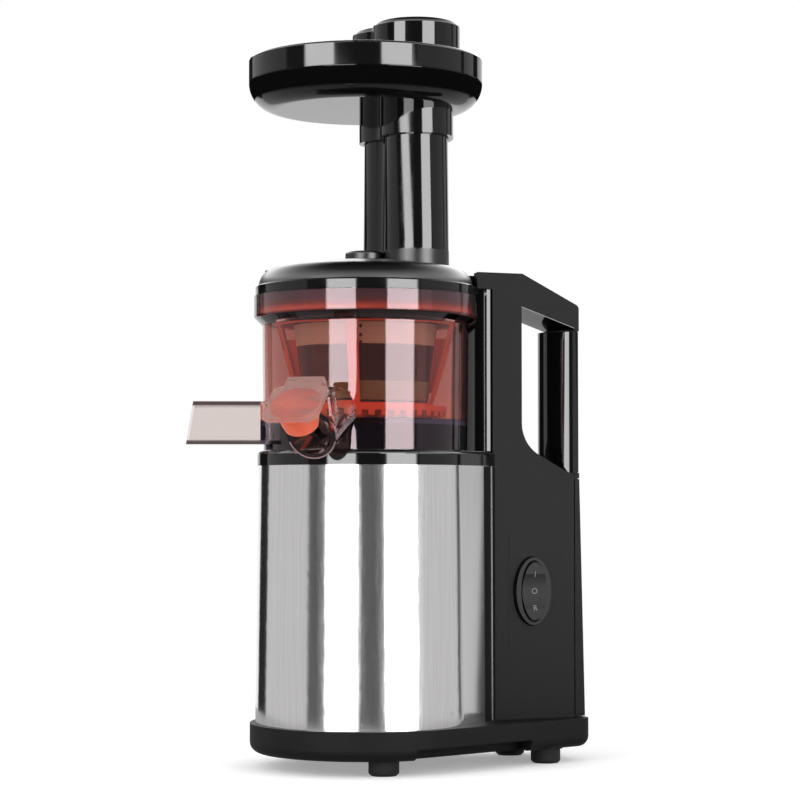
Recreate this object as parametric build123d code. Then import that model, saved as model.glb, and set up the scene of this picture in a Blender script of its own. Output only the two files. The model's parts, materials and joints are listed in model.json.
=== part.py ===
"""Cold press juicer: an upright slow juicer with a side-handled motor base, a bowl set, a lid with a kidney-shaped
feed tube, a round hopper tray and a pusher.

The origin is on the drive axis, in the plane that the feet stand on. +Z is up, -Y is the front and +Y the handle.
The source is in millimetres.
"""

import os
from math import atan2, cos, degrees, pi, radians, sin, sqrt

from build123d import *

# ---------------------------------------------------------------- clearances
RUN = 0.05  # radial clearance of a shaft in its bush
GAP = 0.3  # clearance between pieces that move past each other
SLIP = 0.5  # clearance of a piece that is lifted out by hand
BEYOND = 500.0  # further out than any face, for the ends of cutting tools

# ---------------------------------------------------------------- bowl radii, which the base and the lid follow
BOWL_R = 56.0
BOWL_WALL = 2.6
RING_STEP = 5.4  # how far the ring round the bowl's top stands out
RING_R = BOWL_R + RING_STEP

# ---------------------------------------------------------------- motor base
FOOT_H = 8.0
FOOT_R = 8.2
SKIN_MARGIN = 2.4
SKIN_FLARE = 1.8  # the steel skin widens by this much towards its foot
BODY_R_TOP = BOWL_R + SKIN_MARGIN
BODY_R_BOT = BODY_R_TOP + SKIN_FLARE
SPINE_W = 37.4  # the narrow rear spine that carries the handle
SPINE_MARGIN = 7.6
SPINE_FRONT = RING_R + SPINE_MARGIN
SPINE_REAR_TOP = 122.2
SPINE_REAR_BOT = 125.4
TRAY_OVERHANG = 3.0  # how far the base tray stands outside the steel
TRAY_CORNER = (18.0, 116.6)  # centre of a rear corner of the base tray
TRAY_CORNER_R = 10.0
TRAY_ROUNDING = 6.0
RECESS_TOP = 14.4  # the finger recess under the rim, on the switch side
RECESS_DEEP = 14.0
RECESS_Y = (4.0, 82.0)
TRAY_TOP = 24.0
SKIN_T = 0.8
SHELL_T = 2.4
SKIN_H = 140.0
SKIN_TOP = TRAY_TOP + SKIN_H
DECK_H = 8.0
DECK_TOP = SKIN_TOP + DECK_H
PLATFORM_MARGIN = 0.8
PLATFORM_R = BOWL_R - BOWL_WALL - PLATFORM_MARGIN  # raised round platform that locates the bowl
PLATFORM_H = 13.6
PLATFORM_TOP = DECK_TOP + PLATFORM_H
MARK_AZ = -61.0  # the lock mark on the deck's edge
FRONT_FOOT = (48.0, -9.0)
REAR_FOOT = (23.0, 98.5)

# ---------------------------------------------------------------- handle
COLUMN_DEEP = 17.5
COLUMN_REAR = SPINE_FRONT + COLUMN_DEEP
HANDLE_H = 99.6
HANDLE_TOP = DECK_TOP + HANDLE_H
HANDLE_SLOPE_H = 17.2  # the handle's top slopes down towards the grip by this much
HANDLE_CORNER_Z = HANDLE_TOP - HANDLE_SLOPE_H
HANDLE_FLAT = 18.0
HANDLE_FLAT_END = SPINE_FRONT + HANDLE_FLAT
BRIDGE_FRONT_H = 18.3
BRIDGE_REAR_H = 29.4
HOLE_TOP_FRONT = HANDLE_TOP - BRIDGE_FRONT_H
HOLE_TOP_REAR = HANDLE_TOP - BRIDGE_REAR_H
HOLE_DROP = 13.5  # the hand hole reaches below the deck
HOLE_BOT_REAR = DECK_TOP - HOLE_DROP
HOLE_CORNER_Z = DECK_TOP + 4.2  # where the hole's front and its slanted foot would meet
HOLE_CORNER_R = 20.0
HOLE_REAR = 119.4
GRIP_SAG = 11.2
PANEL_T = 3.0
COVER_T = 3.2
CORNER_R = 3.0
NOSE_MARGIN = 1.6  # the nose at the column's top stands this far outside the lid

# ---------------------------------------------------------------- switch
SWITCH_Y = 92.3
SWITCH_Z = 94.7
BEZEL_W = 22.8
BEZEL_H = 38.6
BEZEL_PROUD = 3.0
ROCKER_W = 15.0
ROCKER_H = 32.0
ROCKER_PROUD = 1.6

# ---------------------------------------------------------------- mains inlet
GLAND_RISE = 14.6  # its centre above the base tray
GLAND_R = 5.0
GLAND_BORE = 3.2
GLAND_FLANGE_R = 6.6

# ---------------------------------------------------------------- bowl heights
BOWL_BOTTOM = DECK_TOP + GAP
FLOOR_LIFT = 2.8
FLOOR_Z = PLATFORM_TOP + FLOOR_LIFT
FLOOR_T = 2.5
BOWL_DEEP = 56.6
RING_BOTTOM = FLOOR_Z + BOWL_DEEP
RING_H = 12.0
RING_TOP = RING_BOTTOM + RING_H

# ---------------------------------------------------------------- juice spout and its cap
SPOUT_AZ = 49.0  # degrees from the front, towards +X
SPOUT_DROP = 21.5
SPOUT_R = 13.4
SPOUT_BORE = 10.9
SPOUT_REACH = 31.0
SPOUT_END = BOWL_R + SPOUT_REACH
SPOUT_FALL = 9.4
SPOUT_END_Z = FLOOR_Z - SPOUT_FALL
HINGE_UP = 20.0
HINGE_BACK = 6.0
HINGE_PIN_R = 1.2
BARREL_R = 3.2
BARREL_L = 20.0
CAP_W = 30.0
CAP_T = 2.2
CAP_DROP = 14.5
CAP_TOP = 13.5  # the plate ends below the hinge, and a neck joins them
CAP_REST = 72.0  # the cap stands open by this angle
SEAL_FLANGE_R = 13.2
SEAL_PLUG_L = 5.6
SEAL_TIP_R = 8.7  # the plug tapers, so that it swings out past the bore's edge

# ---------------------------------------------------------------- pulp chute
CHUTE_AZ = -21.0
CHUTE_W = 26.0
CHUTE_WALL = 2.2
CHUTE_LIFT = 3.6
CHUTE_BOTTOM = DECK_TOP + CHUTE_LIFT
CHUTE_H = 23.4
CHUTE_TOP = CHUTE_BOTTOM + CHUTE_H
CHUTE_REACH = 42.0
CHUTE_END = BOWL_R + CHUTE_REACH
CHUTE_RAKE = 4.0  # the mouth leans out by this much at the bottom

# ---------------------------------------------------------------- gear train under the strainer
GEAR_M = 1.5
SUN_TEETH = 18
IDLER_TEETH = 12
RING_TEETH = 42
GEAR_LIFT = 1.2
GEAR_Z = FLOOR_Z + GEAR_LIFT
GEAR_H = 5.2
IDLERS = 3
IDLER_AZ = 62.0  # azimuth of the first idler

# ---------------------------------------------------------------- strainer, brush holder and auger
RING_GEAR_RIM = 5.4
BRUSH_RING_R = RING_TEETH * GEAR_M / 2 + RING_GEAR_RIM
BRUSH_RING_H = 8.4
BRUSH_MARGIN = 3.2
BRUSH_R_TOP = BOWL_R - BOWL_WALL - BRUSH_MARGIN
STRAINER_INSET = 2.7
STRAINER_R_BOT = BRUSH_RING_R - STRAINER_INSET
WIPER_DEEP = 10.2
STRAINER_R_TOP = BRUSH_R_TOP - WIPER_DEEP
STRAINER_WALL = 2.2
STRAINER_LIFT = 8.0
STRAINER_Z = GEAR_Z + STRAINER_LIFT
STRAINER_SEAT = 1.5
STRAINER_TOP = RING_BOTTOM + STRAINER_SEAT
SCREEN_T = 0.6
STRUTS = 4
STRUT_AZ = 12.0
BRUSH_TOP = STRAINER_TOP - 6.0
AUGER_GAP = 1.6
AUGER_R_BOT = STRAINER_R_BOT - STRAINER_WALL - AUGER_GAP
AUGER_R_TOP = STRAINER_R_TOP - STRAINER_WALL - 4.4
AUGER_CORE_BOT = 24.0
AUGER_CORE_TOP = 11.5
AUGER_PITCH = 34.0
AUGER_TOP = STRAINER_TOP - 8.5
SPINDLE_R = 5.0

# ---------------------------------------------------------------- lid and feed tube
LID_RIM_H = 5.0
LID_RIM_TOP = RING_TOP + LID_RIM_H
LID_INSET = 0.8
LID_RIM_R = RING_R - LID_INSET
LID_RISE = 15.0
LID_CONE_TOP = LID_RIM_TOP + LID_RISE
LID_WALL = 2.6
SHOULDER_W = 11.0  # the dome turns down to the rim over this width
SHOULDER_RISE = 10.6
BOSS_R = 11.2
BOSS_H = 5.0
BOSS_TOP = LID_CONE_TOP + BOSS_H
TUBE_X = 15.0  # the kidney's two lobes stand at +-TUBE_X
TUBE_Y = 24.0
TUBE_R_BOT = 18.0
TUBE_R_TOP = 17.1
TUBE_WALL = 2.4
TUBE_H = 96.0
TUBE_TOP = LID_RIM_TOP + TUBE_H
LID_MARK_AZ = -112.0
TAB_W = 16.0
TAB_H = 8.0
TAB_BOTTOM = LID_RIM_TOP + 0.4
TAB_TOP = TAB_BOTTOM + TAB_H
TAB_BITE = 4.4
TAB_REACH = SPINE_FRONT + TAB_BITE

# ---------------------------------------------------------------- hopper tray and pusher
TRAY_R = 64.5
TRAY_WALL = 2.4
TRAY_ROUND = 15.0
TRAY_DEEP = 28.0
TRAY_SEAT = 2.0
TRAY_FLOOR_Z = TUBE_TOP + TRAY_SEAT
TRAY_RIM_Z = TRAY_FLOOR_Z + TRAY_DEEP
COLLAR_H = 15.0
COLLAR_Z = TRAY_FLOOR_Z - COLLAR_H
COLLAR_WALL = 2.75
PUSHER_CAP_H = 45.6
PUSHER_TOP = TRAY_FLOOR_Z + TRAY_WALL + PUSHER_CAP_H
CAP_SKIRT = 6.8
CAP_EASE = 3.0  # chamfer under the pusher's cap, clear of the dish's rounding
PUSHER_LIFT_OFF = 26.0  # the pusher ends this far above the lid's rim
PUSHER_BOTTOM = LID_RIM_TOP + PUSHER_LIFT_OFF

# ---------------------------------------------------------------- motor and gearbox
MOTOR_R = 44.0
MOTOR_Z = 36.0
STATOR_H = 42.0
ROTOR_R = 24.0
ROTOR_GAP = 0.6
MOTOR_SHAFT_R = 4.0
FAN_R = 30.0
FAN_HUB_R = 8.0
FAN_H = 5.0
BLADE_COUNT = 9
PLANET_M = 1.25
PINION_TEETH = 12
PLANET_TEETH = 24
ANNULUS_TEETH = 60
PLANETS = 3
ANNULUS_RIM = 5.5
BOX_WALL = 3.0
BOX_R = ANNULUS_TEETH * PLANET_M / 2 + ANNULUS_RIM + BOX_WALL
BOX_Z = 104.0
BOX_H = 34.0
PLANET_Z = BOX_Z + 12.0
PLANET_H = 9.0
DRIVE_R = 6.0
DRIVE_KEY_H = 25.6
DRIVE_TOP = FLOOR_Z + DRIVE_KEY_H


# ================================================================ helpers
def tube(r_out, r_in, z0, z1):
    """A straight ring about Z, or a disc where r_in is 0."""
    body = Pos(0, 0, z0) * Cylinder(r_out, z1 - z0, align=(Align.CENTER, Align.CENTER, Align.MIN))
    if r_in <= 0:
        return body
    return body - Pos(0, 0, z0 - 1) * Cylinder(r_in, z1 - z0 + 2, align=(Align.CENTER, Align.CENTER, Align.MIN))


def turned(points):
    """A solid of revolution about Z from (radius, height) points."""
    outline = Polyline(*[(r, 0, z) for r, z in points], close=True)
    return revolve(make_face(outline), Axis.Z, 360)


def box(x0, x1, y0, y1, z0, z1):
    return Pos((x0 + x1) / 2, (y0 + y1) / 2, (z0 + z1) / 2) * Box(x1 - x0, y1 - y0, z1 - z0)


def extruded(sketch, z0, z1):
    return Pos(0, 0, z0) * extrude(sketch, z1 - z0)


def around(n, start=0.0):
    return [start + 360.0 * k / n for k in range(n)]


def at(radius, azimuth, z=0.0):
    """A point at an azimuth measured from +X."""
    return (radius * cos(radians(azimuth)), radius * sin(radians(azimuth)), z)


def gear_outline(teeth, module, internal=False, backlash=0.12):
    """Straight-flanked teeth about the origin; the first tooth of an outer gear points along +X.

    An internal gear's outline is the hole: its spaces are where an outer gear's teeth would be.
    """
    pitch_r = teeth * module / 2
    share = 0.5 + backlash if internal else 0.5 - backlash
    tip = pitch_r + (1.15 if internal else 0.85) * module
    root = pitch_r - (0.85 if internal else 1.15) * module
    half_pitch = share * pi / teeth
    slope = 0.36 * 0.85 * module / pitch_r
    drop = 0.36 * 1.15 * module / pitch_r
    tip_half = half_pitch - (drop if internal else slope)
    root_half = half_pitch + (slope if internal else drop)
    points = []
    for k in range(teeth):
        a = 2 * pi * k / teeth
        for r, da in ((root, -root_half), (tip, -tip_half), (tip, tip_half), (root, root_half)):
            points.append((r * cos(a + da), r * sin(a + da)))
    return make_face(Polyline(*points, close=True))


def gear(teeth, module, z0, height, bore):
    return extruded(gear_outline(teeth, module) - Circle(bore), z0, z0 + height)


def body_outline(r, half_rear, y_rear):
    """The base's plan: a circle whose tangent flats run back to a narrow spine."""
    corner = (half_rear, y_rear)
    reach = sqrt(corner[0] ** 2 + corner[1] ** 2)
    touch = atan2(corner[1], corner[0]) - acos_safe(r / reach)
    tx, ty = r * cos(touch), r * sin(touch)
    front = ThreePointArc((tx, ty), (0, -r), (-tx, ty))
    back = Polyline((-tx, ty), (-corner[0], corner[1]), corner, (tx, ty))
    return make_face([front, back])


def acos_safe(c):
    return atan2(sqrt(max(0.0, 1 - c * c)), c)


def kidney(r, x=TUBE_X, y=TUBE_Y):
    """The feed tube's section: a round tool of radius r swept along an arc about the drive axis."""
    line_r = sqrt(x * x + y * y)
    half = degrees(atan2(x, y))
    outer, inner = line_r + r, line_r - r
    ends = [at(line_r, 90 - half), at(line_r, 90 + half)]
    far = [at(outer, 90 - half), at(outer, 90), at(outer, 90 + half)]
    near = [at(inner, 90 + half), at(inner, 90), at(inner, 90 - half)]
    left = at(line_r, 90 + half)
    cap_left = (left[0] + r * cos(radians(180 + half)), left[1] + r * sin(radians(180 + half)))
    right = ends[0]
    cap_right = (right[0] + r * cos(radians(-half)), right[1] + r * sin(radians(-half)))
    flat = [(p[0], p[1]) for p in far]
    flat_near = [(p[0], p[1]) for p in near]
    return make_face(
        [
            ThreePointArc(*flat),
            ThreePointArc(flat[2], cap_left, flat_near[0]),
            ThreePointArc(*flat_near),
            ThreePointArc(flat_near[2], cap_right, flat[0]),
        ]
    )


def kidney_loft(r0, z0, r1, z1):
    return loft([Pos(0, 0, z0) * kidney(r0), Pos(0, 0, z1) * kidney(r1)], ruled=True)


def turned_profile(first, outer_bulge, second, inner_bulge):
    """A turned shell whose two chains of straight edges are joined by an arc outside and an arc inside."""
    outer = ThreePointArc(*[(p[0], 0, p[1]) for p in (first[-1], outer_bulge, second[0])])
    inner = ThreePointArc(*[(p[0], 0, p[1]) for p in (second[-1], inner_bulge, first[0])])
    chains = [Polyline(*[(r, 0, z) for r, z in chain]) for chain in (first, second)]
    return revolve(make_face([chains[0], outer, chains[1], inner]), Axis.Z, 360)


def side_plate(outline, x0, x1):
    """A Y-Z outline as a plate between two X positions."""
    face = make_face(Polyline(*[(0, y, z) for y, z in outline], close=True))
    return Pos(x0, 0, 0) * extrude(face, x1 - x0, dir=(1, 0, 0))


# ================================================================ shared shapes
def spine_front_cut(r):
    """What the bowl set needs clear in front of the column: a round space about the drive axis.

    It is narrower at the top, beside the pocket, where a nose reaches over to the lid and stops its tab.
    """
    nose = tube(SPINE_FRONT + 2, LID_RIM_R + NOSE_MARGIN, TAB_BOTTOM, HANDLE_TOP + BEYOND)
    nose &= box(TAB_W / 2 + 1.2, SPINE_W, 0, SPINE_W * 2, 0, HANDLE_TOP + BEYOND)
    return tube(r, 0, DECK_TOP, HANDLE_TOP + BEYOND) - nose


def spine_outline(z0=TRAY_TOP, rear_trim=0.0):
    return [
        (SPINE_FRONT - 10, z0),
        (SPINE_REAR_BOT - rear_trim, z0),
        (SPINE_REAR_TOP - rear_trim, HOLE_BOT_REAR),
        (SPINE_REAR_TOP - rear_trim, HANDLE_CORNER_Z),
        (HANDLE_FLAT_END, HANDLE_TOP),
        (SPINE_FRONT - 10, HANDLE_TOP),
    ]


def round_rear_corner(plate):
    """Rounds the handle's upper rear corner."""
    corner = plate.edges().filter_by(Axis.X).sort_by(lambda e: abs(e.center().Z - HANDLE_CORNER_Z)
                                                     + abs(e.center().Y - SPINE_REAR_TOP))[0]
    return fillet(corner, CORNER_R)


def hand_hole(x0, x1):
    hole = side_plate([(COLUMN_REAR, HOLE_CORNER_Z), (HOLE_REAR, HOLE_BOT_REAR), (HOLE_REAR, HOLE_TOP_REAR),
                       (COLUMN_REAR, HOLE_TOP_FRONT)], x0, x1)
    corner = hole.edges().filter_by(Axis.X).sort_by(lambda e: abs(e.center().Z - HOLE_CORNER_Z)
                                                    + abs(e.center().Y - COLUMN_REAR))[0]
    return fillet(corner, HOLE_CORNER_R)


SPINE_HALF = SPINE_W / 2
CORE_HALF = SPINE_HALF - PANEL_T
SPOUT_N = Vector(sin(radians(SPOUT_AZ)) * cos(radians(SPOUT_DROP)),
                 -cos(radians(SPOUT_AZ)) * cos(radians(SPOUT_DROP)), -sin(radians(SPOUT_DROP)))
SPOUT_X = Vector(cos(radians(SPOUT_AZ)), sin(radians(SPOUT_AZ)), 0)
SPOUT_E = Vector(SPOUT_END * sin(radians(SPOUT_AZ)), -SPOUT_END * cos(radians(SPOUT_AZ)), SPOUT_END_Z)
SPOUT = Plane(origin=SPOUT_E, x_dir=SPOUT_X, z_dir=SPOUT_N)


def in_spout(shape):
    """Places a shape built about the spout's mouth: +Z out of the mouth, +Y up."""
    return SPOUT.location * shape


def chute_box(r0, r1, half_w, z0, z1):
    """A block along the pulp chute's direction, from radius r0 to r1."""
    return Rot(0, 0, CHUTE_AZ - 90) * box(r0, r1, -half_w, half_w, z0, z1)


# ================================================================ motor base
def tray_outline(r):
    """The base tray's plan: a teardrop round the front circle and two small rear corners."""
    x, y = TRAY_CORNER
    small = TRAY_CORNER_R - (BODY_R_BOT + TRAY_OVERHANG - r)
    reach = sqrt(x * x + y * y)
    lean = atan2(y, x) - acos_safe((r - small) / reach)
    c, d = cos(lean), sin(lean)
    big = (r * c, r * d)
    corner = (x + small * c, y + small * d)
    middle = (lean + pi / 2) / 2
    bulge = (x + small * cos(middle), y + small * sin(middle))
    rear = (x, y + small)
    return make_face([
        ThreePointArc((-big[0], big[1]), (0, -r), big), Line(big, corner), ThreePointArc(corner, bulge, rear),
        Line(rear, (-rear[0], rear[1])), ThreePointArc((-rear[0], rear[1]), (-bulge[0], bulge[1]), (-corner[0], corner[1])),
        Line((-corner[0], corner[1]), (-big[0], big[1]))])


def finger_recess(grow=0.0):
    r = BODY_R_BOT + TRAY_OVERHANG
    band = extruded(tray_outline(r + 4) - tray_outline(r - RECESS_DEEP - grow), FOOT_H - 2, RECESS_TOP + grow)
    return band & box(0, BEYOND, RECESS_Y[0] - grow, RECESS_Y[1] + grow, 0, TRAY_TOP)


def make_base_tray():
    r = BODY_R_BOT + TRAY_OVERHANG
    body = extruded(tray_outline(r), FOOT_H, TRAY_TOP)
    body = fillet(body.edges().filter_by_position(Axis.Z, FOOT_H - 0.1, FOOT_H + 0.1), TRAY_ROUNDING)
    hollow = extruded(tray_outline(r - TRAY_OVERHANG - SHELL_T), FOOT_H + SHELL_T, TRAY_TOP - SHELL_T)
    hollow += extruded(body_outline(BODY_R_BOT - SKIN_T - SHELL_T, SPINE_HALF - SHELL_T, SPINE_FRONT + 3),
                       FOOT_H + SHELL_T, TRAY_TOP + 1)
    body -= hollow - finger_recess(SHELL_T)
    for x, y in foot_places():
        body += Pos(x, y, FOOT_H) * Cylinder(FOOT_R + 1.2, 9, align=(Align.CENTER, Align.CENTER, Align.MIN))
    for x, y in screw_places():
        post = Pos(x, y, FOOT_H) * Cylinder(4.2, 12, align=(Align.CENTER, Align.CENTER, Align.MIN))
        hole = Pos(x, y, FOOT_H - 1) * Cylinder(1.6 + RUN, 14, align=(Align.CENTER, Align.CENTER, Align.MIN))
        head = Pos(x, y, FOOT_H - 1) * Cylinder(3.2, 4, align=(Align.CENTER, Align.CENTER, Align.MIN))
        body = body + post - hole - head
    # air inlet slots under the motor
    for k in range(-3, 4):
        body -= box(k * 6 - 1.2, k * 6 + 1.2, -18, 18, FOOT_H - 1, FOOT_H + 4)
    return body - finger_recess()


def foot_places():
    return [(sx * p[0], p[1]) for p in (FRONT_FOOT, REAR_FOOT) for sx in (1, -1)]


def screw_places():
    return [(34, 26), (-34, 26), (24, -42), (-24, -42)]


def make_feet():
    foot = turned([(0, 0), (FOOT_R - 1.4, 0), (FOOT_R, 1.4), (FOOT_R, FOOT_H), (0, FOOT_H)])
    return [Pos(x, y, 0) * foot for x, y in foot_places()]


def make_base_screws():
    screw = turned([(0, FOOT_H + 0.6), (2.8, FOOT_H + 0.6), (2.8, FOOT_H + 3), (1.6, FOOT_H + 3),
                    (1.6, FOOT_H + 12), (0, FOOT_H + 12)])
    return [Pos(x, y, 0) * screw for x, y in screw_places()]


def skin_loft(shrink):
    low = body_outline(BODY_R_BOT - shrink, SPINE_HALF - shrink, SPINE_FRONT + 3)
    high = body_outline(BODY_R_TOP - shrink, SPINE_HALF - shrink, SPINE_FRONT + 3)
    return loft([Pos(0, 0, TRAY_TOP) * low, Pos(0, 0, SKIN_TOP) * high], ruled=True)


def rear_clip():
    """Cuts the wraps off square in front of the spine's panels."""
    return box(-BEYOND, BEYOND, SPINE_FRONT - 0.8, BEYOND, 0, BEYOND)


def make_steel_skin():
    skin = skin_loft(0) - skin_loft(SKIN_T)
    return skin - rear_clip()


def make_body_shell():
    shell = skin_loft(SKIN_T) - skin_loft(SKIN_T + SHELL_T)
    return shell - rear_clip()


def make_top_deck():
    deck = extruded(body_outline(BODY_R_TOP + 0.9, SPINE_HALF, SPINE_FRONT + 3), SKIN_TOP, DECK_TOP)
    deck -= rear_clip()
    deck = fillet(deck.edges().filter_by_position(Axis.Z, DECK_TOP - 0.1, DECK_TOP + 0.1), 2.2)
    deck += tube(PLATFORM_R, 0, DECK_TOP - 1, PLATFORM_TOP)
    # hollow underneath, round a hub that carries the shaft bush
    deck -= tube(PLATFORM_R - 3, 16, SKIN_TOP - 1, PLATFORM_TOP - 3)
    deck -= tube(DRIVE_R + 3.0, 0, SKIN_TOP - 1, PLATFORM_TOP + 1)
    # channel for the pulp duct, and the lock mark
    deck -= chute_box(8, 80, CHUTE_W / 2 + SLIP, CHUTE_BOTTOM - SLIP, PLATFORM_TOP + 2)
    mark = box(BOWL_R + GAP, BODY_R_TOP + 0.2, -4, 4, DECK_TOP - 2.4, DECK_TOP + 1.4)
    return deck + Rot(0, 0, MARK_AZ) * mark


def make_shaft_bush():
    return tube(DRIVE_R + 3.0, DRIVE_R + RUN, SKIN_TOP, PLATFORM_TOP - 2.6)


def make_shaft_seal():
    return turned([(DRIVE_R + 0.4, PLATFORM_TOP - 2.6), (DRIVE_R + 3.0, PLATFORM_TOP - 2.6),
                   (DRIVE_R + 3.0, PLATFORM_TOP), (DRIVE_R + 1.0, PLATFORM_TOP)])


# ================================================================ spine and handle
def make_spine_core():
    """The moulding between the two side panels; it closes the base at the rear and frames the hand hole."""
    core = side_plate(spine_outline(rear_trim=COVER_T), -CORE_HALF, CORE_HALF)
    # flush with the grip's back above it and below it, where the rear cover ends
    full = round_rear_corner(side_plate(spine_outline(), -CORE_HALF, CORE_HALF))
    core += full & box(-SPINE_W, SPINE_W, HOLE_REAR - 12, BEYOND, HOLE_TOP_REAR - 2, HANDLE_TOP)
    core -= box(-SPINE_W, SPINE_W, HOLE_REAR - 1, BEYOND, HANDLE_CORNER_Z - 1, HANDLE_TOP) - full
    core += full & box(-SPINE_W, SPINE_W, HOLE_REAR - 2, BEYOND, HOLE_BOT_REAR - 1, HOLE_BOT_REAR + 2)
    core -= hand_hole(-SPINE_W, SPINE_W)
    core -= spine_front_cut(SPINE_FRONT + 0.6)
    core -= box(-SPINE_W, SPINE_W, 0, SPINE_FRONT - 0.6, 0, DECK_TOP + 1)
    # grip: the rear bar is taken out for the grip insert
    core -= box(-SPINE_W, SPINE_W, HOLE_REAR - 1, BEYOND, HOLE_BOT_REAR + 2, HOLE_TOP_REAR - 2)
    core -= make_grip()
    # hollow below the hand hole for the switch, the board and the wiring
    core -= box(-CORE_HALF + 1.6, CORE_HALF - 1.6, SPINE_FRONT + 2, SPINE_REAR_TOP - 7, TRAY_TOP + 3, HOLE_BOT_REAR - 8)
    core -= Pos(0, SWITCH_Y, SWITCH_Z) * Rot(0, 90, 0) * switch_oval(BEZEL_W - 3, BEZEL_H - 3, 40)
    # way in for the mains lead, behind the gland
    core -= Pos(0, SPINE_REAR_BOT, TRAY_TOP + GLAND_RISE) * Rot(90, 0, 0) * Cylinder(GLAND_BORE + 0.4, 30)
    core -= interlock_body(0.2)
    # pocket for the lid's locking tab, open towards -X, where the lid turns to when it is unlocked
    core -= box(-SPINE_W, TAB_W / 2 + 1.2, SPINE_FRONT - 9, TAB_REACH + 1.2, TAB_BOTTOM - 1.0, TAB_TOP + 1.0)
    return core


def make_side_panel(side):
    panel = side_plate(spine_outline(rear_trim=0.0), CORE_HALF, SPINE_HALF)
    panel -= hand_hole(0, SPINE_W)
    panel -= spine_front_cut(SPINE_FRONT + 2.0)
    panel -= box(0, SPINE_W, 0, SPINE_FRONT - 0.6, 0, DECK_TOP + 1)
    # the corner below the hand hole belongs to the rear cover
    panel -= box(0, SPINE_W, HOLE_REAR - 0.6, BEYOND, TRAY_TOP - 1, HOLE_BOT_REAR - 1)
    panel -= box(0, SPINE_W, HOLE_REAR - 0.6, BEYOND, HOLE_BOT_REAR + 2, HOLE_TOP_REAR - 2)
    panel = round_rear_corner(panel) - make_grip()
    if side > 0:
        cut = Pos(SPINE_HALF, SWITCH_Y, SWITCH_Z) * Rot(0, 90, 0) * switch_oval(BEZEL_W - 3, BEZEL_H - 3, 20)
        panel -= cut
        return panel
    panel = mirror(panel, Plane.YZ) - tube(SPINE_FRONT + 2.0, 0, DECK_TOP, HANDLE_TOP + BEYOND)
    return panel - box(-SPINE_W, 0, SPINE_FRONT - 9, TAB_REACH + 1.2, TAB_BOTTOM - 1.0, TAB_TOP + 1.0)


def make_column_trim():
    """Glossy concave strip down the front of the column."""
    z0, z1 = DECK_TOP + 0.4, TAB_BOTTOM - 0.4
    strip = tube(SPINE_FRONT + 0.6, SPINE_FRONT - 1.4, z0, z1) & box(
        -SPINE_HALF, SPINE_HALF, SPINE_FRONT / 2, SPINE_FRONT + 2, z0, z1)
    return strip - box(-SPINE_W, TAB_W / 2 + 1.2, SPINE_FRONT / 2, BEYOND, TAB_BOTTOM - 1.0, TAB_TOP + 1.0)


def make_rear_cover():
    z0, z1 = TRAY_TOP + 0.6, HOLE_BOT_REAR - 1.4
    low, high = SPINE_REAR_BOT, SPINE_REAR_TOP
    cover = side_plate([(HOLE_REAR, z0), (low, z0), (high, z1), (HOLE_REAR, z1)], -SPINE_HALF, SPINE_HALF)
    cover -= side_plate(spine_outline(rear_trim=COVER_T), -CORE_HALF, CORE_HALF)
    for k in range(7):
        z = z0 + 62 + 8 * k
        cover -= box(-11, 11, HOLE_REAR - 1, low + 2, z, z + 3)
    gland = Pos(0, low, TRAY_TOP + GLAND_RISE) * Rot(90, 0, 0) * Cylinder(GLAND_R + RUN, 20)
    return cover - gland


def make_cord_gland():
    """Strain relief socket for the mains lead, at the foot of the rear cover."""
    z = TRAY_TOP + GLAND_RISE
    flange = Pos(0, SPINE_REAR_BOT + 1.0, z) * Rot(90, 0, 0) * Cylinder(GLAND_FLANGE_R, 2.0)
    barrel = Pos(0, SPINE_REAR_BOT - 1.6, z) * Rot(90, 0, 0) * Cylinder(GLAND_R, 3.6)
    bore = Pos(0, SPINE_REAR_BOT, z) * Rot(90, 0, 0) * Cylinder(GLAND_BORE, 12)
    return flange + barrel - bore


def make_grip():
    """The grip bar: flat at the back, half an ellipse towards the column for the fingers."""
    z0, z1 = HOLE_BOT_REAR + 2.3, HOLE_TOP_REAR - 2.3
    back, side = SPINE_REAR_TOP, HOLE_REAR + 0.6
    crown = Pos(0, side) * Ellipse(SPINE_HALF, GRIP_SAG) & Pos(0, side - GRIP_SAG) * Rectangle(SPINE_W, 2 * GRIP_SAG)
    heel = make_face(Polyline((SPINE_HALF, side), (SPINE_HALF, back - 1), (SPINE_HALF - 1, back), (1 - SPINE_HALF, back),
                              (-SPINE_HALF, back - 1), (-SPINE_HALF, side), close=True))
    return extruded(crown + heel, z0, z1)


# ================================================================ switch
def switch_oval(w, h, depth):
    """An oval block about the origin, height along X and width along Y, before it is turned to face +X."""
    return extrude(Ellipse(h / 2, w / 2), depth / 2, both=True)


def on_switch(shape, x=0.0, tilt=0.0):
    return Pos(SPINE_HALF + x, SWITCH_Y, SWITCH_Z) * Rot(0, 90 + tilt, 0) * shape


def make_switch_bezel():
    flange = on_switch(extrude(Ellipse(BEZEL_H / 2, BEZEL_W / 2), BEZEL_PROUD, taper=12))
    neck = on_switch(extrude(Ellipse(BEZEL_H / 2 - 1.8, BEZEL_W / 2 - 1.8), -12))
    bore = on_switch(switch_oval(ROCKER_W + 2 * GAP, ROCKER_H + 2.4, 60))
    bezel = flange + neck - bore
    for y in (-1, 1):
        pin = Pos(SPINE_HALF - 4, SWITCH_Y + y * (ROCKER_W / 2 + 0.35), SWITCH_Z) * Rot(90, 0, 0)
        bezel += pin * Cylinder(1.2, 3.2)
    return bezel


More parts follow.
